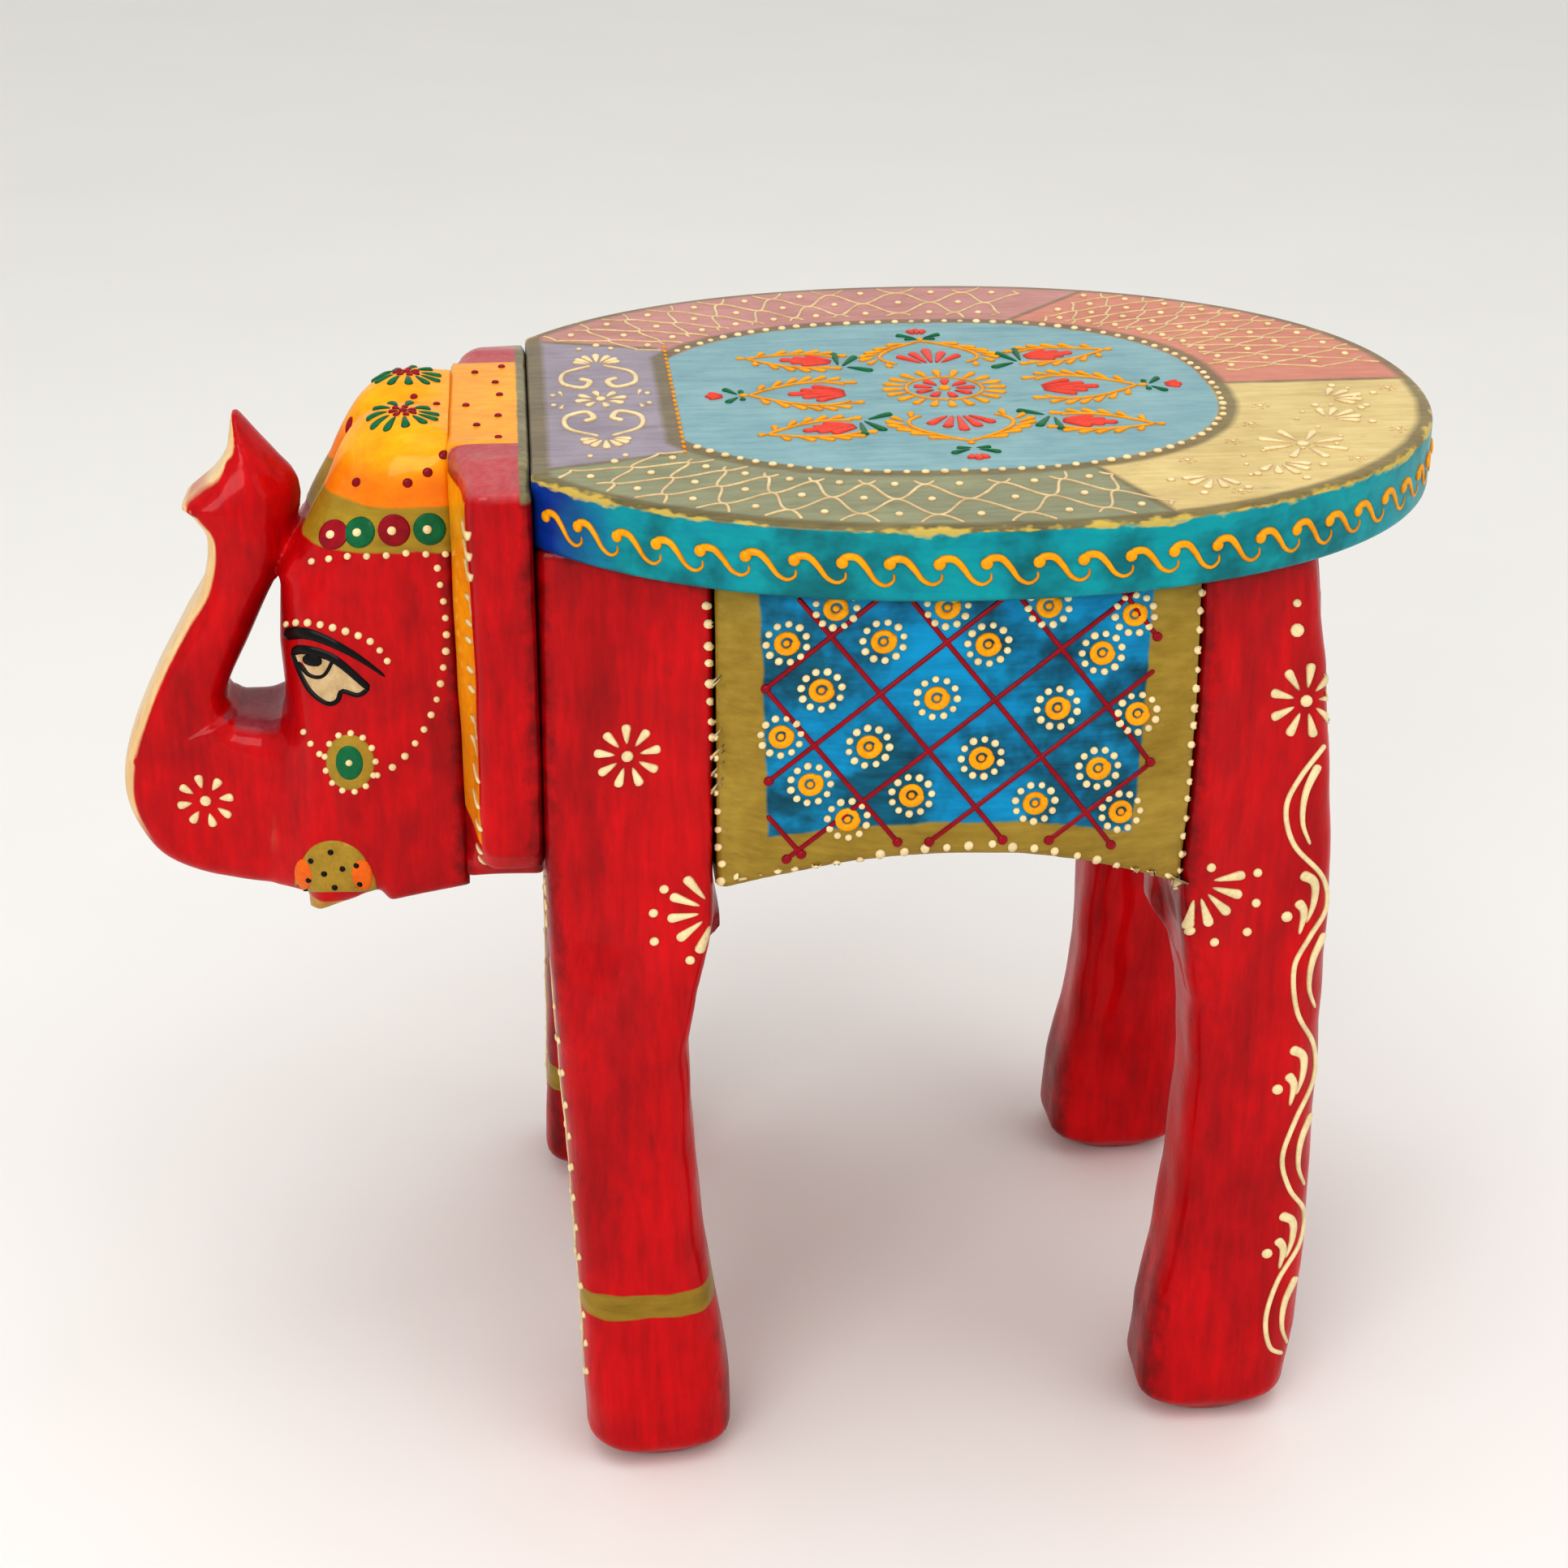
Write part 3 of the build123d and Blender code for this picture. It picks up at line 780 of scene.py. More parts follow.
class ConePaint:
    """Dots, beads and filled shapes, drawn flat as (across, along, rise) in millimetres."""

    def __init__(self):
        self.points = []
        self.faces = []

    def grid(self, rows, closed):
        """Joins rows of points into faces; closed rows run round and meet."""
        start, n = len(self.points), len(rows[0])
        for row in rows:
            self.points += [tuple(point) for point in row]
        for r in range(len(rows) - 1):
            for i in range(n if closed else n - 1):
                a, b = start + r * n + i, start + r * n + (i + 1) % n
                self.faces.append((a, b, b + n, a + n))
        return start

    def fill(self, outline, thickness):
        """A flat shape with rounded edges inside a closed outline."""
        middle = np.mean(outline, axis=0)
        rows = []
        for scale, lift in ((1.0, -0.3), (0.97, 0.7), (0.9, 1.0), (0.6, 1.05), (0.3, 1.05), (0.02, 1.05)):
            rows.append([(*(middle + (np.array(p) - middle) * scale), thickness * lift) for p in outline])
        start = self.grid(rows, True)
        last = start + (len(rows) - 1) * len(outline)
        self.faces.append(tuple(range(last, last + len(outline))))

    def dot(self, u, v, radius, height=None):
        height = height or min(radius * 0.6, 0.7)
        rows = []
        for scale, lift in ((1.0, -0.25), (0.9, 0.5), (0.62, 0.9), (0.05, 1.0)):
            ring = [i * math.pi / 5 for i in range(10)]
            size = radius * scale
            rows.append([(u + size * math.cos(a), v + size * math.sin(a), height * lift) for a in ring])
        start = self.grid(rows, True)
        self.faces.append(tuple(range(start + 30, start + 40)))

    def line(self, path, width, tail=1.0, head=1.0):
        """A bead along a path; tail and head scale its width at the two ends."""
        track = np.array(path, float)
        run = np.r_[0, np.cumsum(np.linalg.norm(np.diff(track, axis=0), axis=1))]
        total = run[-1]
        reach = min(width / 2, total / 2)
        ends = [0.0, reach * 0.1, reach * 0.4, total - reach * 0.4, total - reach * 0.1, total]
        at = np.unique(np.r_[ends, np.linspace(reach, total - reach, max(2, int(total / 0.8)))])
        centre = np.stack([np.interp(at, run, track[:, i]) for i in range(2)], 1)
        along = np.gradient(centre, axis=0)
        along /= np.linalg.norm(along, axis=1, keepdims=True) + 1e-9
        across = np.stack([-along[:, 1], along[:, 0]], 1)
        half = width / 2 * (tail + (head - tail) * at / total)
        toward_end = np.clip(np.minimum(at, total - at) / reach, 0, 1)
        half = half * np.sqrt(np.clip(1 - (1 - toward_end) ** 2, 0.004, 1))
        rows = []
        for c, a, h in zip(centre, across, half):
            lift = min(h * 0.65, 0.6)
            sides = ((-1.0, -0.3), (-0.72, 0.65), (0.0, 1.0), (0.72, 0.65), (1.0, -0.3))
            rows.append([(*(c + a * h * s), lift * rise) for s, rise in sides])
        self.grid(rows, False)

    def oval(self, u, v, half_u, half_v, thickness, steps=20):
        """A filled oval, flat on top."""
        turns = np.linspace(0, 2 * math.pi, steps, endpoint=False)
        self.fill([(u + half_u * math.cos(a), v + half_v * math.sin(a)) for a in turns], thickness)

    def drop(self, tail, head, width):
        """One press of the cone: a thin tail swelling to a round head."""
        tail, head = np.array(tail, float), np.array(head, float)
        self.line([tail, tail * 0.4 + head * 0.6, head], width, 0.3, 1.25)

    def blossom(self, u, v, petals, inner, outer, width, turn=0.0, centre=0.0):
        for i in range(petals):
            angle = turn + i * 2 * math.pi / petals
            c, s = math.cos(angle), math.sin(angle)
            self.drop((u + inner * c, v + inner * s), (u + outer * c, v + outer * s), width)
        if centre:
            self.dot(u, v, centre)


def lay(name, paint, canvas, material, slot_name, *nodes):
    """Lays drawn paint on a surface; the canvas gives the place and normal there."""
    spots = [canvas(u, v) for u, v, rise in paint.points]
    points = [spot + normal * (rise * MM) for (spot, normal), (u, v, rise) in zip(spots, paint.points)]
    faces = paint.faces
    outward = 0.0
    for face in faces[:60]:
        a, b, c = (points[i] for i in face[:3])
        outward += (b - a).cross(c - a).dot(spots[face[0]][1])
    if outward < 0:
        faces = [tuple(reversed(face)) for face in faces]
    rise = [p[2] for p in paint.points]
    piece = piece_from(name, [tuple(p) for p in points], faces, rise)
    piece.data.materials.append(material)
    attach(piece, "root")
    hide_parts(*nodes)


def cone_paint(name, rgb, rgb_edge, edge_rise=0.22):
    """Thick paint: clean on its crest, with the dark glaze caught round its foot."""
    material, shader, where = start_material(name)
    rise = where.node("ShaderNodeAttribute", {"attribute_name": "rise"}, {}, "Fac")
    cloud = where.noise(5.0, 3.0, 0.6)
    fine = where.noise(0.9, 2.0, 0.6)
    tone = (cloud * 0.6 + fine * 0.4).between(0.36, 0.62)
    colour = flat_colour(where, [c * 0.78 for c in rgb]).mixed((*rgb, 1), tone)
    foot = (rise - edge_rise + (cloud - 0.5) * 0.3).inside(0.3)
    feed(shader, colour.mixed((*rgb_edge, 1), foot * 0.6), fine, 0.3, 0.1, 0.3 + cloud * 0.2)
    shader.inputs["Specular IOR Level"].default_value = 0.2
    shader.inputs["Coat Weight"].default_value = 0.2
    shader.inputs["Coat Roughness"].default_value = 0.15
    return material


cream_paint = cone_paint("cream_cone_paint", (0.86, 0.71, 0.42), (0.30, 0.13, 0.05))
amber_paint = cone_paint("amber_cone_paint", (0.90, 0.40, 0.004), (0.35, 0.10, 0.004))
coral_paint = cone_paint("coral_cone_paint", (0.78, 0.085, 0.05), (0.25, 0.02, 0.01))
leaf_paint = cone_paint("green_cone_paint", (0.008, 0.17, 0.065), (0.004, 0.05, 0.02))
crimson_paint = cone_paint("crimson_cone_paint", (0.34, 0.003, 0.018), (0.10, 0.002, 0.004))
orange_paint = cone_paint("orange_shape_paint", (0.80, 0.17, 0.01), (0.5, 0.08, 0.008), 0.05)
gold_paint = cone_paint("gold_shape_paint", (0.42, 0.27, 0.035), (0.26, 0.15, 0.02), 0.05)
black_paint = cone_paint("black_cone_paint", (0.006, 0.005, 0.005), (0.003, 0.003, 0.003))

seat_cream, seat_amber, seat_coral, seat_green = ConePaint(), ConePaint(), ConePaint(), ConePaint()
hand = np.random.default_rng(7)


def turned(u, v, angle, du, dv):
    """A point du forward and dv sideways of (u, v), for a motif that faces angle."""
    c, s = math.cos(angle), math.sin(angle)
    return u + du * c - dv * s, v + du * s + dv * c


def leaf(u, v, angle, length, half_width, pairs=7):
    """A pointed leaf outlined in amber, with strokes fanning off it and a coral heart."""
    def edge(t, side, swell=1.0):
        belly_of_leaf = math.sin(math.pi * min(t, 1.0) ** 0.7) ** 0.85
        return turned(u, v, angle, length * t, side * swell * half_width * belly_of_leaf)

    for side in (-1, 1):
        seat_amber.line([edge(t, side, 0.8) for t in np.linspace(0.12, 1.0, 14)], 1.2)
        for i in range(pairs):
            t = 0.08 + 0.86 * (i + 0.5) / pairs
            root, end = np.array(edge(t + 0.04, side, 0.86)), np.array(edge(t - 0.05, side, 1.0))
            away = end - np.array(turned(u, v, angle, length * 0.75, 0))
            seat_amber.drop(root, end + away / (np.linalg.norm(away) + 1e-6) * 2.6, 1.9)
    seat_amber.drop(turned(u, v, angle, length * 0.99, 0), turned(u, v, angle, length * 1.1, 0), 2.0)
    for spread in (-1.0, -0.5, 0.0, 0.5, 1.0):
        reach = length * (0.66 - 0.24 * abs(spread))
        seat_coral.drop(turned(u, v, angle, length * 0.14, spread * half_width * 0.16),
                        turned(u, v, angle, reach, spread * half_width * 0.5), 2.6)


def bud(u, v, angle):
    """A coral bud between two green leaves, with a green stalk."""
    for side in (-0.8, 0.0, 0.8):
        seat_coral.drop(turned(u, v, angle, 0, side * 1.2),
                        turned(u, v, angle, 4.4 - abs(side), side * 2.4), 2.3)
    for side in (-1, 1):
        seat_green.drop(turned(u, v, angle, -3.5, side), turned(u, v, angle, -0.5, side * 5.6), 1.9)
        seat_green.drop(turned(u, v, angle, -4.5, side * 0.5), turned(u, v, angle, -4.5, side * 4.0), 1.6)


blossom_x, blossom_y = -1.5, 101.0
seat_amber.blossom(blossom_x, blossom_y, 20, 9.6, 15.2, 2.3)
ring_of_blossom = [turned(blossom_x, blossom_y, a, 9.3, 0) for a in np.linspace(0, 6.28, 40)]
seat_amber.line(ring_of_blossom, 1.0)
seat_coral.blossom(blossom_x, blossom_y, 9, 2.8, 7.6, 2.7, 0.2)
seat_amber.dot(blossom_x, blossom_y, 1.6)
leaf(0, 80.5, -math.pi / 2, 27, 12.0)
bud(0, 47, -math.pi / 2)
leaf(0, 121, math.pi / 2, 27, 12.0)
bud(0, 155, math.pi / 2)
for side in (-1, 1):
    out = 0 if side > 0 else math.pi
    leaf(side * 19 + blossom_x, 101, out, 23, 15.5)
    bud(side * 50, 101, out)
    for way, start in ((-1, 79.5), (1, 121.5)):
        leaf(side * 26, start, way * (math.pi / 2 - side * 0.22), 25, 7.5, 6)
        seat_green.drop((side * 22, start), (side * 18, start - way * 6), 2.4)
        seat_green.drop((side * 23, start + way), (side * 31, start - way * 3), 2.2)
        seat_green.drop((side * 24, start + way * 2), (side * 34, start + way * 2), 1.9)

# cream dots round the oval, and dashes across its front
oval_dots = []
for angle in np.linspace(-math.pi, math.pi, 400):
    x, y = superellipse(angle, oval_half_width + 1.8, oval_half_length + 1.8, oval_fullness)
    oval_dots.append((x, y + oval_centre))
for x, y in even_steps([p for p in oval_dots[100:] + oval_dots[:100] if p[1] > oval_front + 2], 4.3):
    seat_cream.dot(x + hand.normal(0, 0.15), y + hand.normal(0, 0.15), 1.0 + hand.uniform(-0.15, 0.15))
for x in np.arange(-44, 45, 3.6):
    seat_amber.line([(x - 1.0, oval_front - 1.0), (x + 1.0, oval_front - 0.6)], 1.1)


def round_seat(angle, across):
    """A point on the seat top: across is 0 at the oval and 1 at the rim."""
    inner = np.array(superellipse(angle, oval_half_width + 5.5, oval_half_length + 5.5, oval_fullness))
    outer = np.array(superellipse(angle, seat_half_width - 3.5, seat_half_length - 3.5, seat_fullness))
    inner, outer = inner + (0, oval_centre), outer + (0, seat_centre)
    return inner + (outer - inner) * across


def net(first, last, cells, rows, thread):
    """Threads that swing to and fro and meet, like fish scales, with a dot in each."""
    for row in range(rows + 1):
        path = []
        for i in range(cells * 12 + 1):
            across = (row + 0.5 * math.cos(math.pi * (i / 6 + row))) / rows
            if 0.0 <= across <= 1.0:
                path.append(round_seat(first + (last - first) * i / (cells * 12), across))
            if len(path) > 2 and (not 0.0 <= across <= 1.0 or i == cells * 12):
                seat_cream.line(smooth_path(path, 3), thread * hand.uniform(0.85, 1.15))
                path = []
        for i in range(cells):
            if row < rows:
                x, y = round_seat(first + (last - first) * (i + 0.5 - 0.5 * (row % 2)) / cells,
                                  (row + 0.5) / rows)
                seat_cream.dot(x, y, 1.0)


net(-0.98, 0.34, 9, 3, 0.95)
net(math.pi + 1.0, math.pi - 0.30, 9, 3, 0.85)
net(math.pi - 0.46, math.pi / 2 + 0.1, 9, 4, 0.85)


def spray(u, v, angle, size):
    """A fan of petals on a stalk, with dots off the tips."""
    for i, swing in enumerate((-1.0, -0.5, 0.0, 0.5, 1.0)):
        reach = size * (1.0 - 0.18 * abs(swing))
        tip = turned(u, v, angle + swing * 0.95, reach, 0)
        seat_cream.drop(turned(u, v, angle + swing * 0.95, reach * 0.25, 0), tip, 2.1)
        if i % 2 == 0:
            x, y = turned(u, v, angle + swing * 0.95, reach * 1.35, 0)
            seat_cream.dot(x, y, 1.0)


gold_middle = round_seat(0.95, 0.5)
seat_cream.blossom(*gold_middle, 8, 2.6, 10.5, 2.0, 0.3, 1.6)
for angle, across, turn in ((0.55, 0.5, -0.4), (0.76, 0.55, 0.3), (1.22, 0.5, 2.2), (1.42, 0.5, 1.8)):
    spray(*round_seat(angle, across), turn, 9.5)
for angle, across in ((0.5, 0.85), (0.62, 0.15), (0.9, 0.12), (0.88, 0.9), (1.12, 0.1), (1.15, 0.92),
                      (1.34, 0.12), (1.5, 0.88)):
    seat_cream.blossom(*round_seat(angle, across), 5, 1.2, 2.2, 1.1, 0.0, 0.7)
for angle in np.linspace(0.47, 1.5, 15):
    seat_cream.dot(*round_seat(angle, 0.32 + 0.36 * (0.5 + 0.5 * math.sin(angle * 14))), 0.65)

# the front panel: scrolls either side of a small blossom
panel_y = 17.6
seat_cream.blossom(0, panel_y, 8, 2.2, 6.4, 2.1, 0.2, 1.3)
for side in (-1, 1):
    for lean in (-1, 1):
        scroll = smooth_path([(side * 29, panel_y + lean * 1.5), (side * 23, panel_y + lean * 8.2),
                              (side * 14, panel_y + lean * 8.8),
                              (side * 10, panel_y + lean * 4.0), (side * 15, panel_y + lean * 2.2),
                              (side * 17.5, panel_y + lean * 4.6)])
        seat_cream.line(scroll, 1.6, 0.7, 1.2)
        seat_cream.drop((side * 3, panel_y + lean * 9.0), (side * 7, panel_y + lean * 9.8), 1.2)
    for swing in np.linspace(-1.25, 1.25, 7):
        angle = (0 if side > 0 else math.pi) + swing
        tip = turned(side * 30, panel_y, angle, 8.5 - 1.8 * abs(swing), 0)
        seat_cream.drop(turned(side * 30, panel_y, angle, 2.0, 0), tip, 2.1)
    for lean in (-1, 1):
        seat_cream.dot(side * 4.0, panel_y + lean * 11.4, 0.8)
        seat_cream.dot(side * 44.0, panel_y + lean * 4, 0.8)


def top_canvas(x, y):
    return place(x, y, seat_top), Vector((0, 0, 1))


rim_track = even_steps([p for p in whole_oval if p[1] > 0], 0.5)
rim_run = np.r_[0, np.cumsum(np.linalg.norm(np.diff(rim_track, axis=0), axis=1))]
rim_ways = np.gradient(rim_track, axis=0)


def rim_canvas(along, z):
    x, y = (np.interp(along, rim_run, rim_track[:, i]) for i in range(2))
    way_x, way_y = (np.interp(along, rim_run, rim_ways[:, i]) for i in range(2))
    return place(x, y, z), Vector((way_y, -way_x, 0)).normalized()


rim_wave = ConePaint()
wave_length = 10.4
wave_count = int((rim_run[-1] - 10) / wave_length)
for i in range(wave_count):
    start = 4.0 + i * wave_length + hand.normal(0, 0.3)
    tall = 1.0 + hand.normal(0, 0.05)
    wave = [
        (0.2, 241.2), (1.6, 242.9), (4.0, 242.9), (6.0, 240.9), (8.0, 238.2), (10.2, 237.2),
        (11.9, 238.3), (11.9, 239.8),
    ]
    rim_wave.line(smooth_path([(start + u, 240.3 + (v - 240.3) * tall) for u, v in wave]), 1.4, 1.6, 0.4)
    rim_wave.dot(start + 0.9, 241.9, 1.45, 0.7)

for name, paint, canvas, finish in (("seat_cream_dots_and_threads", seat_cream, top_canvas, cream_paint),
                                    ("seat_amber_petals", seat_amber, top_canvas, amber_paint),
                                    ("seat_coral_petals", seat_coral, top_canvas, coral_paint),
                                    ("seat_green_leaves", seat_green, top_canvas, leaf_paint),
                                    ("rim_amber_waves", rim_wave, rim_canvas, amber_paint)):
    lay(name, paint, canvas, finish, "seat_paint", "seat_board")


# ---------------------------------------------------------------------------
# Raised paint on the saddle cloth, the same on both sides: a crimson trellis,
# an amber ring with cream dots round it in every cell, and dotted borders.
# ---------------------------------------------------------------------------

carved_pieces = [*legs.values(), belly, ears, head]
carved_points, carved_faces = [], []
for piece in carved_pieces:
    first = len(carved_points)
    carved_points += [vertex.co.copy() for vertex in piece.data.vertices]
    carved_faces += [[first + i for i in face.vertices] for face in piece.data.polygons]
carved = BVHTree.FromPolygons(carved_points, carved_faces)


def side_canvas(side):
    """The elephant's flank, drawn as (back from the glue line, up)."""
    def canvas(y, z):
        hit, normal, _, _ = carved.ray_cast(place(side * 300, y, z), Vector((-side, 0, 0)))
        if hit is None:
            hit, normal, _, _ = carved.find_nearest(place(side * 80, y, z))
        return hit, normal
    return canvas


def slanted_canvas(side, plane, overrun=0.06):
    """The flank again, but drawn on an upright plane and carried inward and down."""
    way = Vector((-side * 0.906, 0.085, -0.414))

    def canvas(y, z):
        start = place(side * plane, y, z)
        hit, normal, _, _ = carved.ray_cast(start - way * 0.15, way)
        if hit is None or (hit - start).length > overrun:
            hit, normal, _, _ = carved.find_nearest(start + way * 0.004)
        return hit, normal
    return canvas


def trellis(row, along):
    """A crossing of the trellis; it hangs a little lower toward the tail."""
    odd = row % 2
    return (63.4 + 25.2 * along - 1.8 * row + 12.6 * odd, 223.2 - 2.45 * along - 12.1 * row - 1.9 * odd)


def on_cloth(y, z, margin=0.0):
    middle = (panel_front + panel_back) / 2
    low = 173.0 - ((y - middle) / 42.0) ** 2 * 4.0
    return panel_front + 0.6 + margin < y < panel_back + 1.4 - margin and low + margin < z < 233.0


# one rosette in each cell; those at the panel's edges are squeezed inside it
rosettes = [
    (64.8, 229), (88.7, 229), (110.8, 228), (130.2, 226), (54, 222.4), (74.8, 221), (98.5, 219.8),
    (122.9, 217.1), (61.7, 210.5), (86.8, 207.8), (113.3, 204.4), (132, 202.2), (52.6, 200),
    (71.7, 196.6), (97.1, 193.7), (123.2, 189.4), (59.1, 188.3), (81.6, 184.3), (109.5, 181.7),
    (129.6, 178.4), (67.5, 179.4),
]
for side, label in ((1, "left"), (-1, "right")):
    threads, rings, dots, hearts = ConePaint(), ConePaint(), ConePaint(), ConePaint()
    for start in range(-3, 6):
        for way in ((10.8, -14.0), (-14.4, -11.6)):
            y0, z0 = trellis(0, start)
            track = [(y0 + way[0] * t, z0 + way[1] * t) for t in np.linspace(-2, 6.5, 180)]
            track = [p for p in track if on_cloth(*p)]
            if len(track) > 12:
                threads.line(track, 1.25)
                threads.dot(*track[-1], 1.2)
    for y, z in rosettes:
        y, z = y + hand.normal(0, 0.3), z + hand.normal(0, 0.3)
        lean = hand.uniform(-0.6, 0.6)
        circle = [turned(y, z, a + lean, 2.05, 0) for a in np.linspace(0.0, 2 * math.pi + 0.6, 26)]
        rings.line(circle, 1.8, 0.8, 1.3)
        hearts.dot(y, z, 0.85)
        for i in range(11):
            a = i * 2 * math.pi / 11 + lean
            dots.dot(y + 4.5 * math.cos(a), z + 4.5 * math.sin(a), 0.92 + hand.uniform(-0.08, 0.08))
    border = even_steps([(36.0, 232.0), (38.8, 164.0), (39.6, 160.0)], 4.6)
    edge_middle = (belly_front + belly_back) / 2
    half_edge = belly_back - edge_middle
    hem = [(y, belly_crown + 2.9 - (belly_crown - belly_edge) * ((y - edge_middle) / half_edge) ** 2)
           for y in np.linspace(42, 143, 40)]
    back = even_steps([(145.4, 231.0), (144.8, 158.0)], 4.7)
    for y, z in [*border, *even_steps(hem, 5.0), *back]:
        dots.dot(y + hand.normal(0, 0.2), z + hand.normal(0, 0.2), 1.05 + hand.uniform(-0.15, 0.2))
    flank = slanted_canvas(side, 91.5, 0.02)
    for name, paint, finish in (("cloth_trellis_", threads, crimson_paint),
                                ("cloth_amber_rings_", rings, amber_paint),
                                ("cloth_ring_hearts_", hearts, amber_paint),
                                ("cloth_cream_dots_", dots, cream_paint)):
        lay(name + label, paint, flank, finish, "blanket_paint", "belly_block")


# ---------------------------------------------------------------------------
# Raised paint on the legs: a blossom at each shoulder and haunch, a spray where
# the leg springs from the body, and vines down the front and back corners.
# ---------------------------------------------------------------------------

def front_canvas(x, z):
    """Surfaces that face forward, drawn as (across, up)."""
    hit, normal, _, _ = carved.ray_cast(place(x, -300, z), Vector((0, 1, 0)))
    if hit is None:
        hit, normal, _, _ = carved.find_nearest(place(x, 0, z))
    return hit, normal


def fan(paint, u, v, angles, size, width):
    for angle in angles:
        root, tip = turned(u, v, angle, size * 0.35, 0), turned(u, v, angle, size, 0)
        paint.drop(root, tip, width)


vine = [
    (179.4, 188), (173.6, 180), (170.6, 172.3), (173.2, 162.9), (181.2, 154), (183.2, 146),
    (179.2, 138), (176.0, 130.0), (177.8, 118.0), (183.4, 108), (184.2, 99), (179.6, 88), (176.8, 77.5),
    (179.4, 68.3), (184.2, 61), (183.8, 52), (178.4, 42), (175.8, 31), (177.4, 22), (181.4, 19),
]
for side, label in ((1, "left"), (-1, "right")):
    shoulder, haunch, corner = ConePaint(), ConePaint(), ConePaint()
    shoulder.blossom(17.6, 196.3, 9, 3.0, 8.0, 2.4, 0.2, 1.5)
    fan(shoulder, 37.6, 156.4, [math.radians(a) for a in (128, 158, 188, 218, 248)], 11.5, 2.5)
    for y, z in ((25.6, 162.5), (23.0, 156.4), (23.1, 149.1), (31.4, 144.0), (37.6, 145.0)):
        shoulder.dot(y, z, 1.2)
    haunch.dot(170.2, 216.4, 1.8)
    haunch.dot(169.8, 223.0, 1.1)
    haunch.blossom(173.6, 199, 9, 3.2, 9.4, 2.5, 0.1, 1.6)
    fan(haunch, 149.8, 154.0, [math.radians(a) for a in (8, -18, -44, -70, -94)], 12.0, 2.6)
    for y, z in ((153.0, 158.0), (164.7, 156.0), (165.0, 148.1), (163.4, 140.6), (155.4, 138.4),
                 (149.6, 141.6)):
        haunch.dot(y, z, 1.2)
    haunch.line(smooth_path(vine), 1.5)
    for y, z in ((171.0, 172.0), (176.4, 128.0), (177.4, 78.0), (176.4, 31.0)):
        tendril = smooth_path([(y + 7.0, z + 11.0), (y + 4.2, z + 4.0), (y + 4.0, z - 3.5),
                               (y + 6.4, z - 9.5)])
        haunch.line(tendril, 1.9, 1.3, 0.5)
    for y, z in ((182.6, 152.0), (183.8, 105.0), (184.4, 58.0)):
        tendril = smooth_path([(y - 7.0, z + 3.0), (y - 3.4, z + 0.6), (y - 3.2, z - 5.0),
                               (y - 4.6, z - 10.0)])
        haunch.line(tendril, 2.3, 1.4, 0.4)
        tendril = smooth_path([(y - 7.4, z - 4.0), (y - 5.4, z - 7.0), (y - 6.0, z - 13.0)])
        haunch.line(tendril, 2.2, 1.4, 0.4)
        haunch.dot(y - 9.6, z - 8.0, 1.5)
    # down the front corner of the foreleg: petals, dots and a wavy thread
    heights, widths = [s[0] for s in front_stations], [s[2] for s in front_stations]
    outer = [np.interp(z, heights, widths) - 13.0 for z in range(0, 200)]
    thread = [(side * (outer[z] + 2.4 * math.sin(z * 0.22)), z) for z in range(20, 132, 2)]
    corner.line(smooth_path(thread, 3), 1.3)
    for z in range(24, 128, 8):
        corner.dot(side * (outer[z] - 4.2 * math.sin(z * 0.22)), z, 1.1)
        corner.drop((side * (outer[z] + 3.0), z - 1.5), (side * (outer[z] + 6.4), z + 2.0), 1.9)
    corner.blossom(side * (outer[145] + 2.0), 143.0, 7, 2.0, 6.5, 2.1, 0.3, 1.3)
    corner.dot(side * (outer[150] + 1.0), 154, 1.2)
    flank = slanted_canvas(side, 90.0)
    lay("shoulder_blossom_" + label, shoulder, flank, cream_paint, "red_lacquer", "front_leg_" + label)
    lay("haunch_vine_" + label, haunch, slanted_canvas(side, 80.0), cream_paint, "red_lacquer",
        "rear_leg_" + label)
    lay("foreleg_corner_vine_" + label, corner, front_canvas, cream_paint, "red_lacquer",
        "front_leg_" + label)


# ---------------------------------------------------------------------------
# Raised and flat paint on the head and ears: discs and dots along the gold
# band, a dotted necklace, black-lined eyes, a blossom on the trunk, a spotted
# half-round by the mouth, and two green and red blossoms on the crown.
# ---------------------------------------------------------------------------

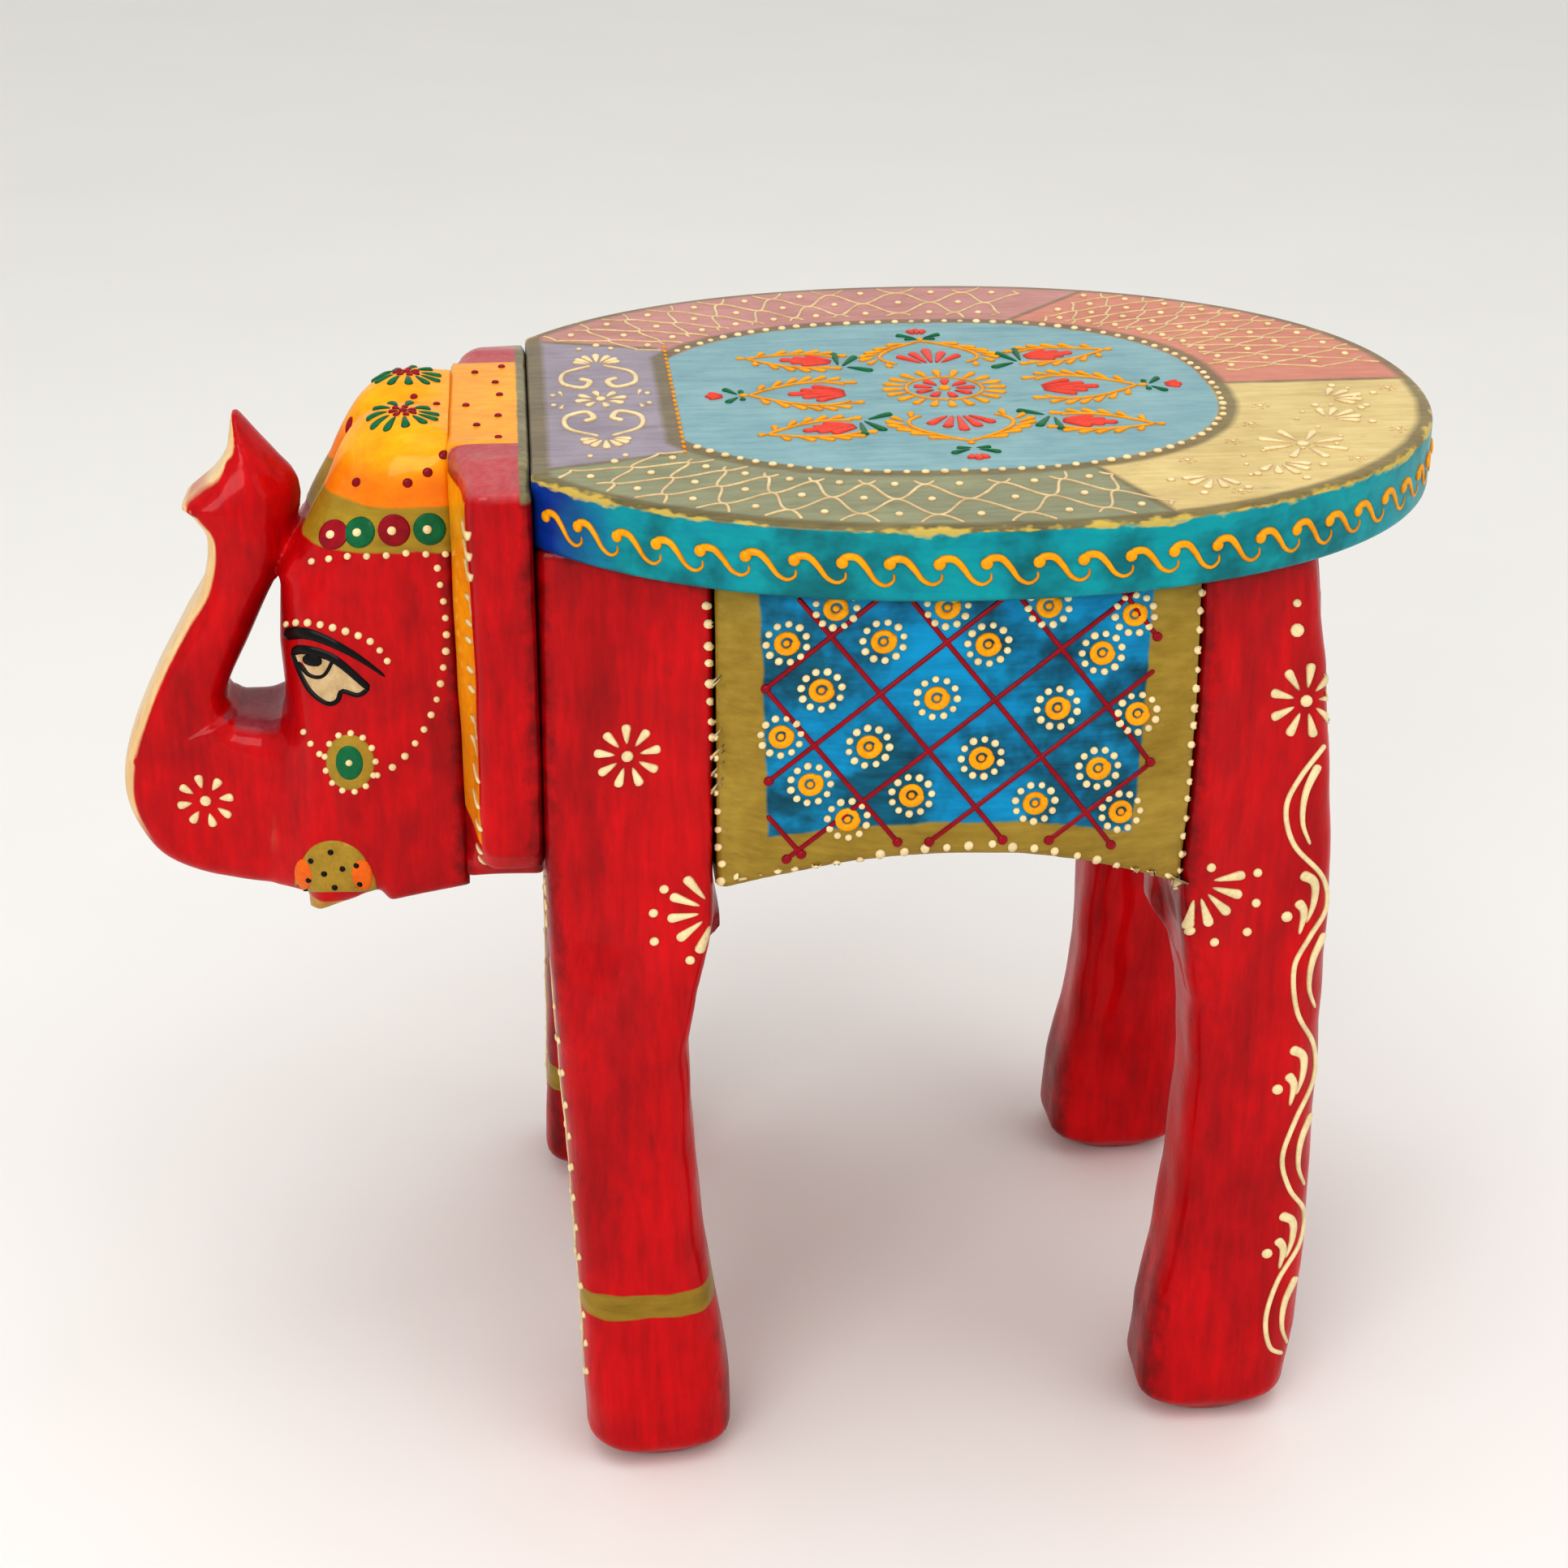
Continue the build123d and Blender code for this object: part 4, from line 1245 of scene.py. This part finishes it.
necklace = [
    (-20.4, 224), (-22.4, 221), (-21.3, 211), (-21.2, 202), (-22.4, 195), (-24.4, 187), (-28.2, 179),
    (-33.9, 171.7), (-39.4, 168.4),
]
brow = [(-60.5, 208.8), (-54.9, 208.6), (-49.0, 207.2), (-41.2, 204.2), (-37.8, 201.6), (-35.4, 197.8)]
eye_outline = [
    (-59.2, 201.6), (-56.3, 201.8), (-51.7, 200.6), (-47.2, 198.0), (-40.2, 191.0), (-43.0, 189.4),
    (-46.8, 190.6), (-48.0, 188.2), (-50.6, 187.6), (-54.4, 190.6), (-57.0, 195.4),
]
medallion = (-45.9, 172.0)
for side, label in ((1, "left"), (-1, "right")):
    cream, black, gold_shapes, orange_sides, red_discs, green_discs, trunk = (ConePaint() for _ in range(7))
    for y, z in [*even_steps(smooth_path(necklace), 4.3), *even_steps(smooth_path(brow), 3.3)]:
        cream.dot(y, z, 0.95 + hand.uniform(-0.1, 0.12))
    for y in np.arange(-52.5, -22, 4.6):
        cream.dot(y, 224.2 + hand.normal(0, 0.2), 0.95)
    for y, discs in ((-46.9, red_discs), (-40.2, green_discs), (-32.0, red_discs), (-23.8, green_discs)):
        discs.oval(y, 230.2, 3.8, 4.0, 0.3, 22)
        cream.dot(y - 0.5, 230.2, 1.2, 0.9)
    gold_shapes.oval(*medallion, 6.1, 7.4, 0.25, 28)
    green_discs.oval(*medallion, 3.4, 4.6, 0.4, 24)
    cream.dot(*medallion, 0.95, 0.9)
    for i in range(13):
        a = i * 2 * math.pi / 13
        cream.dot(medallion[0] + 6.3 * math.cos(a), medallion[1] + 7.7 * math.sin(a), 0.9)
    for y, z in ((-53.4, 174.6), (-55.6, 177.4), (-57.4, 180.6)):
        cream.dot(y, z, 0.9)
    eye_white = ConePaint()
    eye_white.fill(smooth_path(eye_outline + eye_outline[:1])[:-1], 0.14)
    black.line(smooth_path(eye_outline[:5]), 2.1, 1.3, 0.9)
    black.line(smooth_path(eye_outline[4:] + eye_outline[:1]), 1.5, 0.9, 1.0)
    lid = [(-61.4, 206.4), (-55.1, 205.8), (-49.6, 203.6), (-43.4, 199.8), (-38.4, 195.8), (-36.2, 193.8)]
    black.line(smooth_path(lid), 3.0, 1.3, 0.25)
    black.line(smooth_path([(-57.8, 198.8), (-54.8, 195.2), (-51.4, 194.8), (-48.6, 198.6)]), 1.2)
    black.line([(-56.2, 199.6), (-51.4, 198.4)], 3.6)
    trunk.blossom(-82.7, 154.7, 8, 3.4, 7.2, 2.6, 0.2, 1.5)
    half_round = smooth_path([(-62.6, 142.0), (-58.0, 149.4), (-51.6, 151.6), (-45.2, 148.6),
                              (-41.6, 141.0)], 4)
    half_round = [(-63.4, 137.6)] + half_round + [(-41.4, 137.2)]
    gold_shapes.fill(even_steps(half_round + half_round[:1], 1.5)[:-1], 0.3)
    orange_sides.oval(-60.0, 142.6, 2.4, 4.2, 0.45)
    orange_sides.oval(-44.8, 142.0, 2.6, 4.2, 0.45)
    for y, z in ((-58.6, 141.0), (-57.6, 146.2), (-52.4, 148.4), (-49.6, 143.8), (-54.4, 142.6),
                 (-46.0, 144.6), (-45.6, 139.6), (-52.0, 138.8)):
        black.dot(y, z, 0.85, 0.75)
    for y, z in ((-41.0, 243.0), (-28.3, 241.6), (-23.6, 244.0), (-19.8, 248.2)):
        red_discs.dot(y, z, 1.25, 0.3)
    ear_edge = ConePaint()
    for z in range(158, 222, 6):
        ear_edge.dot(-15.0 + (z - 158) * -0.012 + hand.normal(0, 0.2), z + hand.normal(0, 0.5), 0.85)
    for z in (226, 231, 236):
        ear_edge.drop((-13.6, z + 2.4), (-15.4, z), 2.2)
    cheek, flank = slanted_canvas(side, head_half_width), side_canvas(side)
    for name, paint, canvas, finish, node in (
            ("head_cream_dots_", cream, cheek, cream_paint, "head_block"),
            ("eye_white_", eye_white, cheek, cream_paint, "head_block"),
            ("ear_edge_dots_", ear_edge, flank, cream_paint, "ear_board"),
            ("trunk_blossom_", trunk, flank, cream_paint, "head_block"),
            ("head_black_lines_", black, cheek, black_paint, "head_block"),
            ("head_gold_shapes_", gold_shapes, cheek, gold_paint, "head_block"),
            ("mouth_orange_", orange_sides, cheek, orange_paint, "head_block"),
            ("head_red_discs_", red_discs, cheek, crimson_paint, "head_block"),
            ("head_green_discs_", green_discs, cheek, leaf_paint, "head_block")):
        lay(name + label, paint, canvas, finish, "red_lacquer", node)


def crown_canvas(x, y):
    """The top of the head and ears, drawn as (across, back)."""
    hit, normal, _, _ = carved.ray_cast(place(x, y, 300), Vector((0, 0, -1)))
    if hit is None:
        hit, normal, _, _ = carved.find_nearest(place(x, y, 250))
    return hit, normal


crown_green, crown_red = ConePaint(), ConePaint()
for side in (-1, 1):
    crown_green.blossom(side * 16, -29, 11, 3.6, 8.6, 2.3, 0.1)
    crown_red.blossom(side * 16, -29, 7, 1.0, 3.4, 1.9, 0.3, 1.0)
for x, y in ((29, -7), (19, -12), (12, -7), (3, -14.6), (3.5, -21.5), (-5, -6.6), (-15.5, -7.6),
             (-24.5, -12.6), (-29, -6),
             (6.5, -42.5), (-7, -43), (-3, -27)):
    crown_red.dot(x, y, 0.95)
lay("crown_green_petals", crown_green, crown_canvas, leaf_paint, "red_lacquer", "head_block")
lay("crown_red_dots", crown_red, crown_canvas, crimson_paint, "red_lacquer", "head_block")


# ---------------------------------------------------------------------------
# Stage: a wide pale floor under an even pale sky, soft light from large panels,
# and the camera a little above the seat, looking at the elephant's left side.
# ---------------------------------------------------------------------------

def floor_mesh():
    """A wide round floor, the same from every side."""
    radii, around = (0.02, 0.3, 0.8, 2.0, 5.0, 12.0), 96
    turns = np.arange(around) * 2 * math.pi / around
    points = [(r * math.cos(a), r * math.sin(a), 0.0) for r in radii for a in turns]
    faces = [tuple(range(around))]
    for ring in range(len(radii) - 1):
        for i in range(around):
            a, b = ring * around + i, ring * around + (i + 1) % around
            faces.append((a, a + around, b + around, b))
    return piece_from("floor", points, faces)


floor = floor_mesh()
floor_material, floor_shader, floor_where = start_material("floor_paper")
fibres = floor_where.noise(120.0, 3.0, 0.5)
paper = flat_colour(floor_where, (0.83, 0.82, 0.80)).mixed((0.80, 0.79, 0.77, 1), fibres)
paper.tree.links.new(paper.socket, floor_shader.inputs["Base Color"])
floor_shader.inputs["Roughness"].default_value = 0.7
floor.data.materials.append(floor_material)


def light(name, place_at, look_at, size, power, warmth=(1, 1, 1)):
    lamp = bpy.data.lights.new(name, "AREA")
    lamp.shape = "RECTANGLE"
    lamp.size, lamp.size_y = size
    lamp.energy = power
    lamp.color = warmth
    holder = bpy.data.objects.new(name, lamp)
    bpy.context.scene.collection.objects.link(holder)
    holder.location = place_at
    holder.rotation_euler = (Vector(look_at) - Vector(place_at)).to_track_quat("-Z", "Y").to_euler()


centre = Vector((0, 0, 0.15))
light("overhead", (0.3, 0.1, 1.5), centre, (1.4, 1.4), 5.5)
light("window", (1.4, -0.8, 0.9), centre, (0.9, 0.8), 7.0)
light("fill", (0.9, 1.4, 0.7), centre, (1.2, 1.0), 2.2)

world = bpy.data.worlds.new("studio")
bpy.context.scene.world = world
world.use_nodes = True
sky = world.node_tree.nodes["Background"]
sky.inputs["Color"].default_value = (1.0, 0.99, 0.975, 1)
sky.inputs["Strength"].default_value = 0.6

yaw, pitch, camera_distance = math.radians(5.38), math.radians(24.44), 0.7355
aim = Vector((0.0, 0.0046, 0.1468))
looking = Vector((-math.cos(yaw) * math.cos(pitch), math.sin(yaw) * math.cos(pitch), -math.sin(pitch)))
camera_data = bpy.data.cameras.new("camera")
camera_data.lens = 65.9
camera_data.sensor_width = 36.0
camera = bpy.data.objects.new("camera", camera_data)
bpy.context.scene.collection.objects.link(camera)
camera.location = aim - looking * camera_distance
camera.rotation_euler = looking.to_track_quat("-Z", "Y").to_euler()
bpy.context.scene.camera = camera

bpy.context.scene.view_settings.view_transform = "Standard"
bpy.context.scene.view_settings.look = "High Contrast"
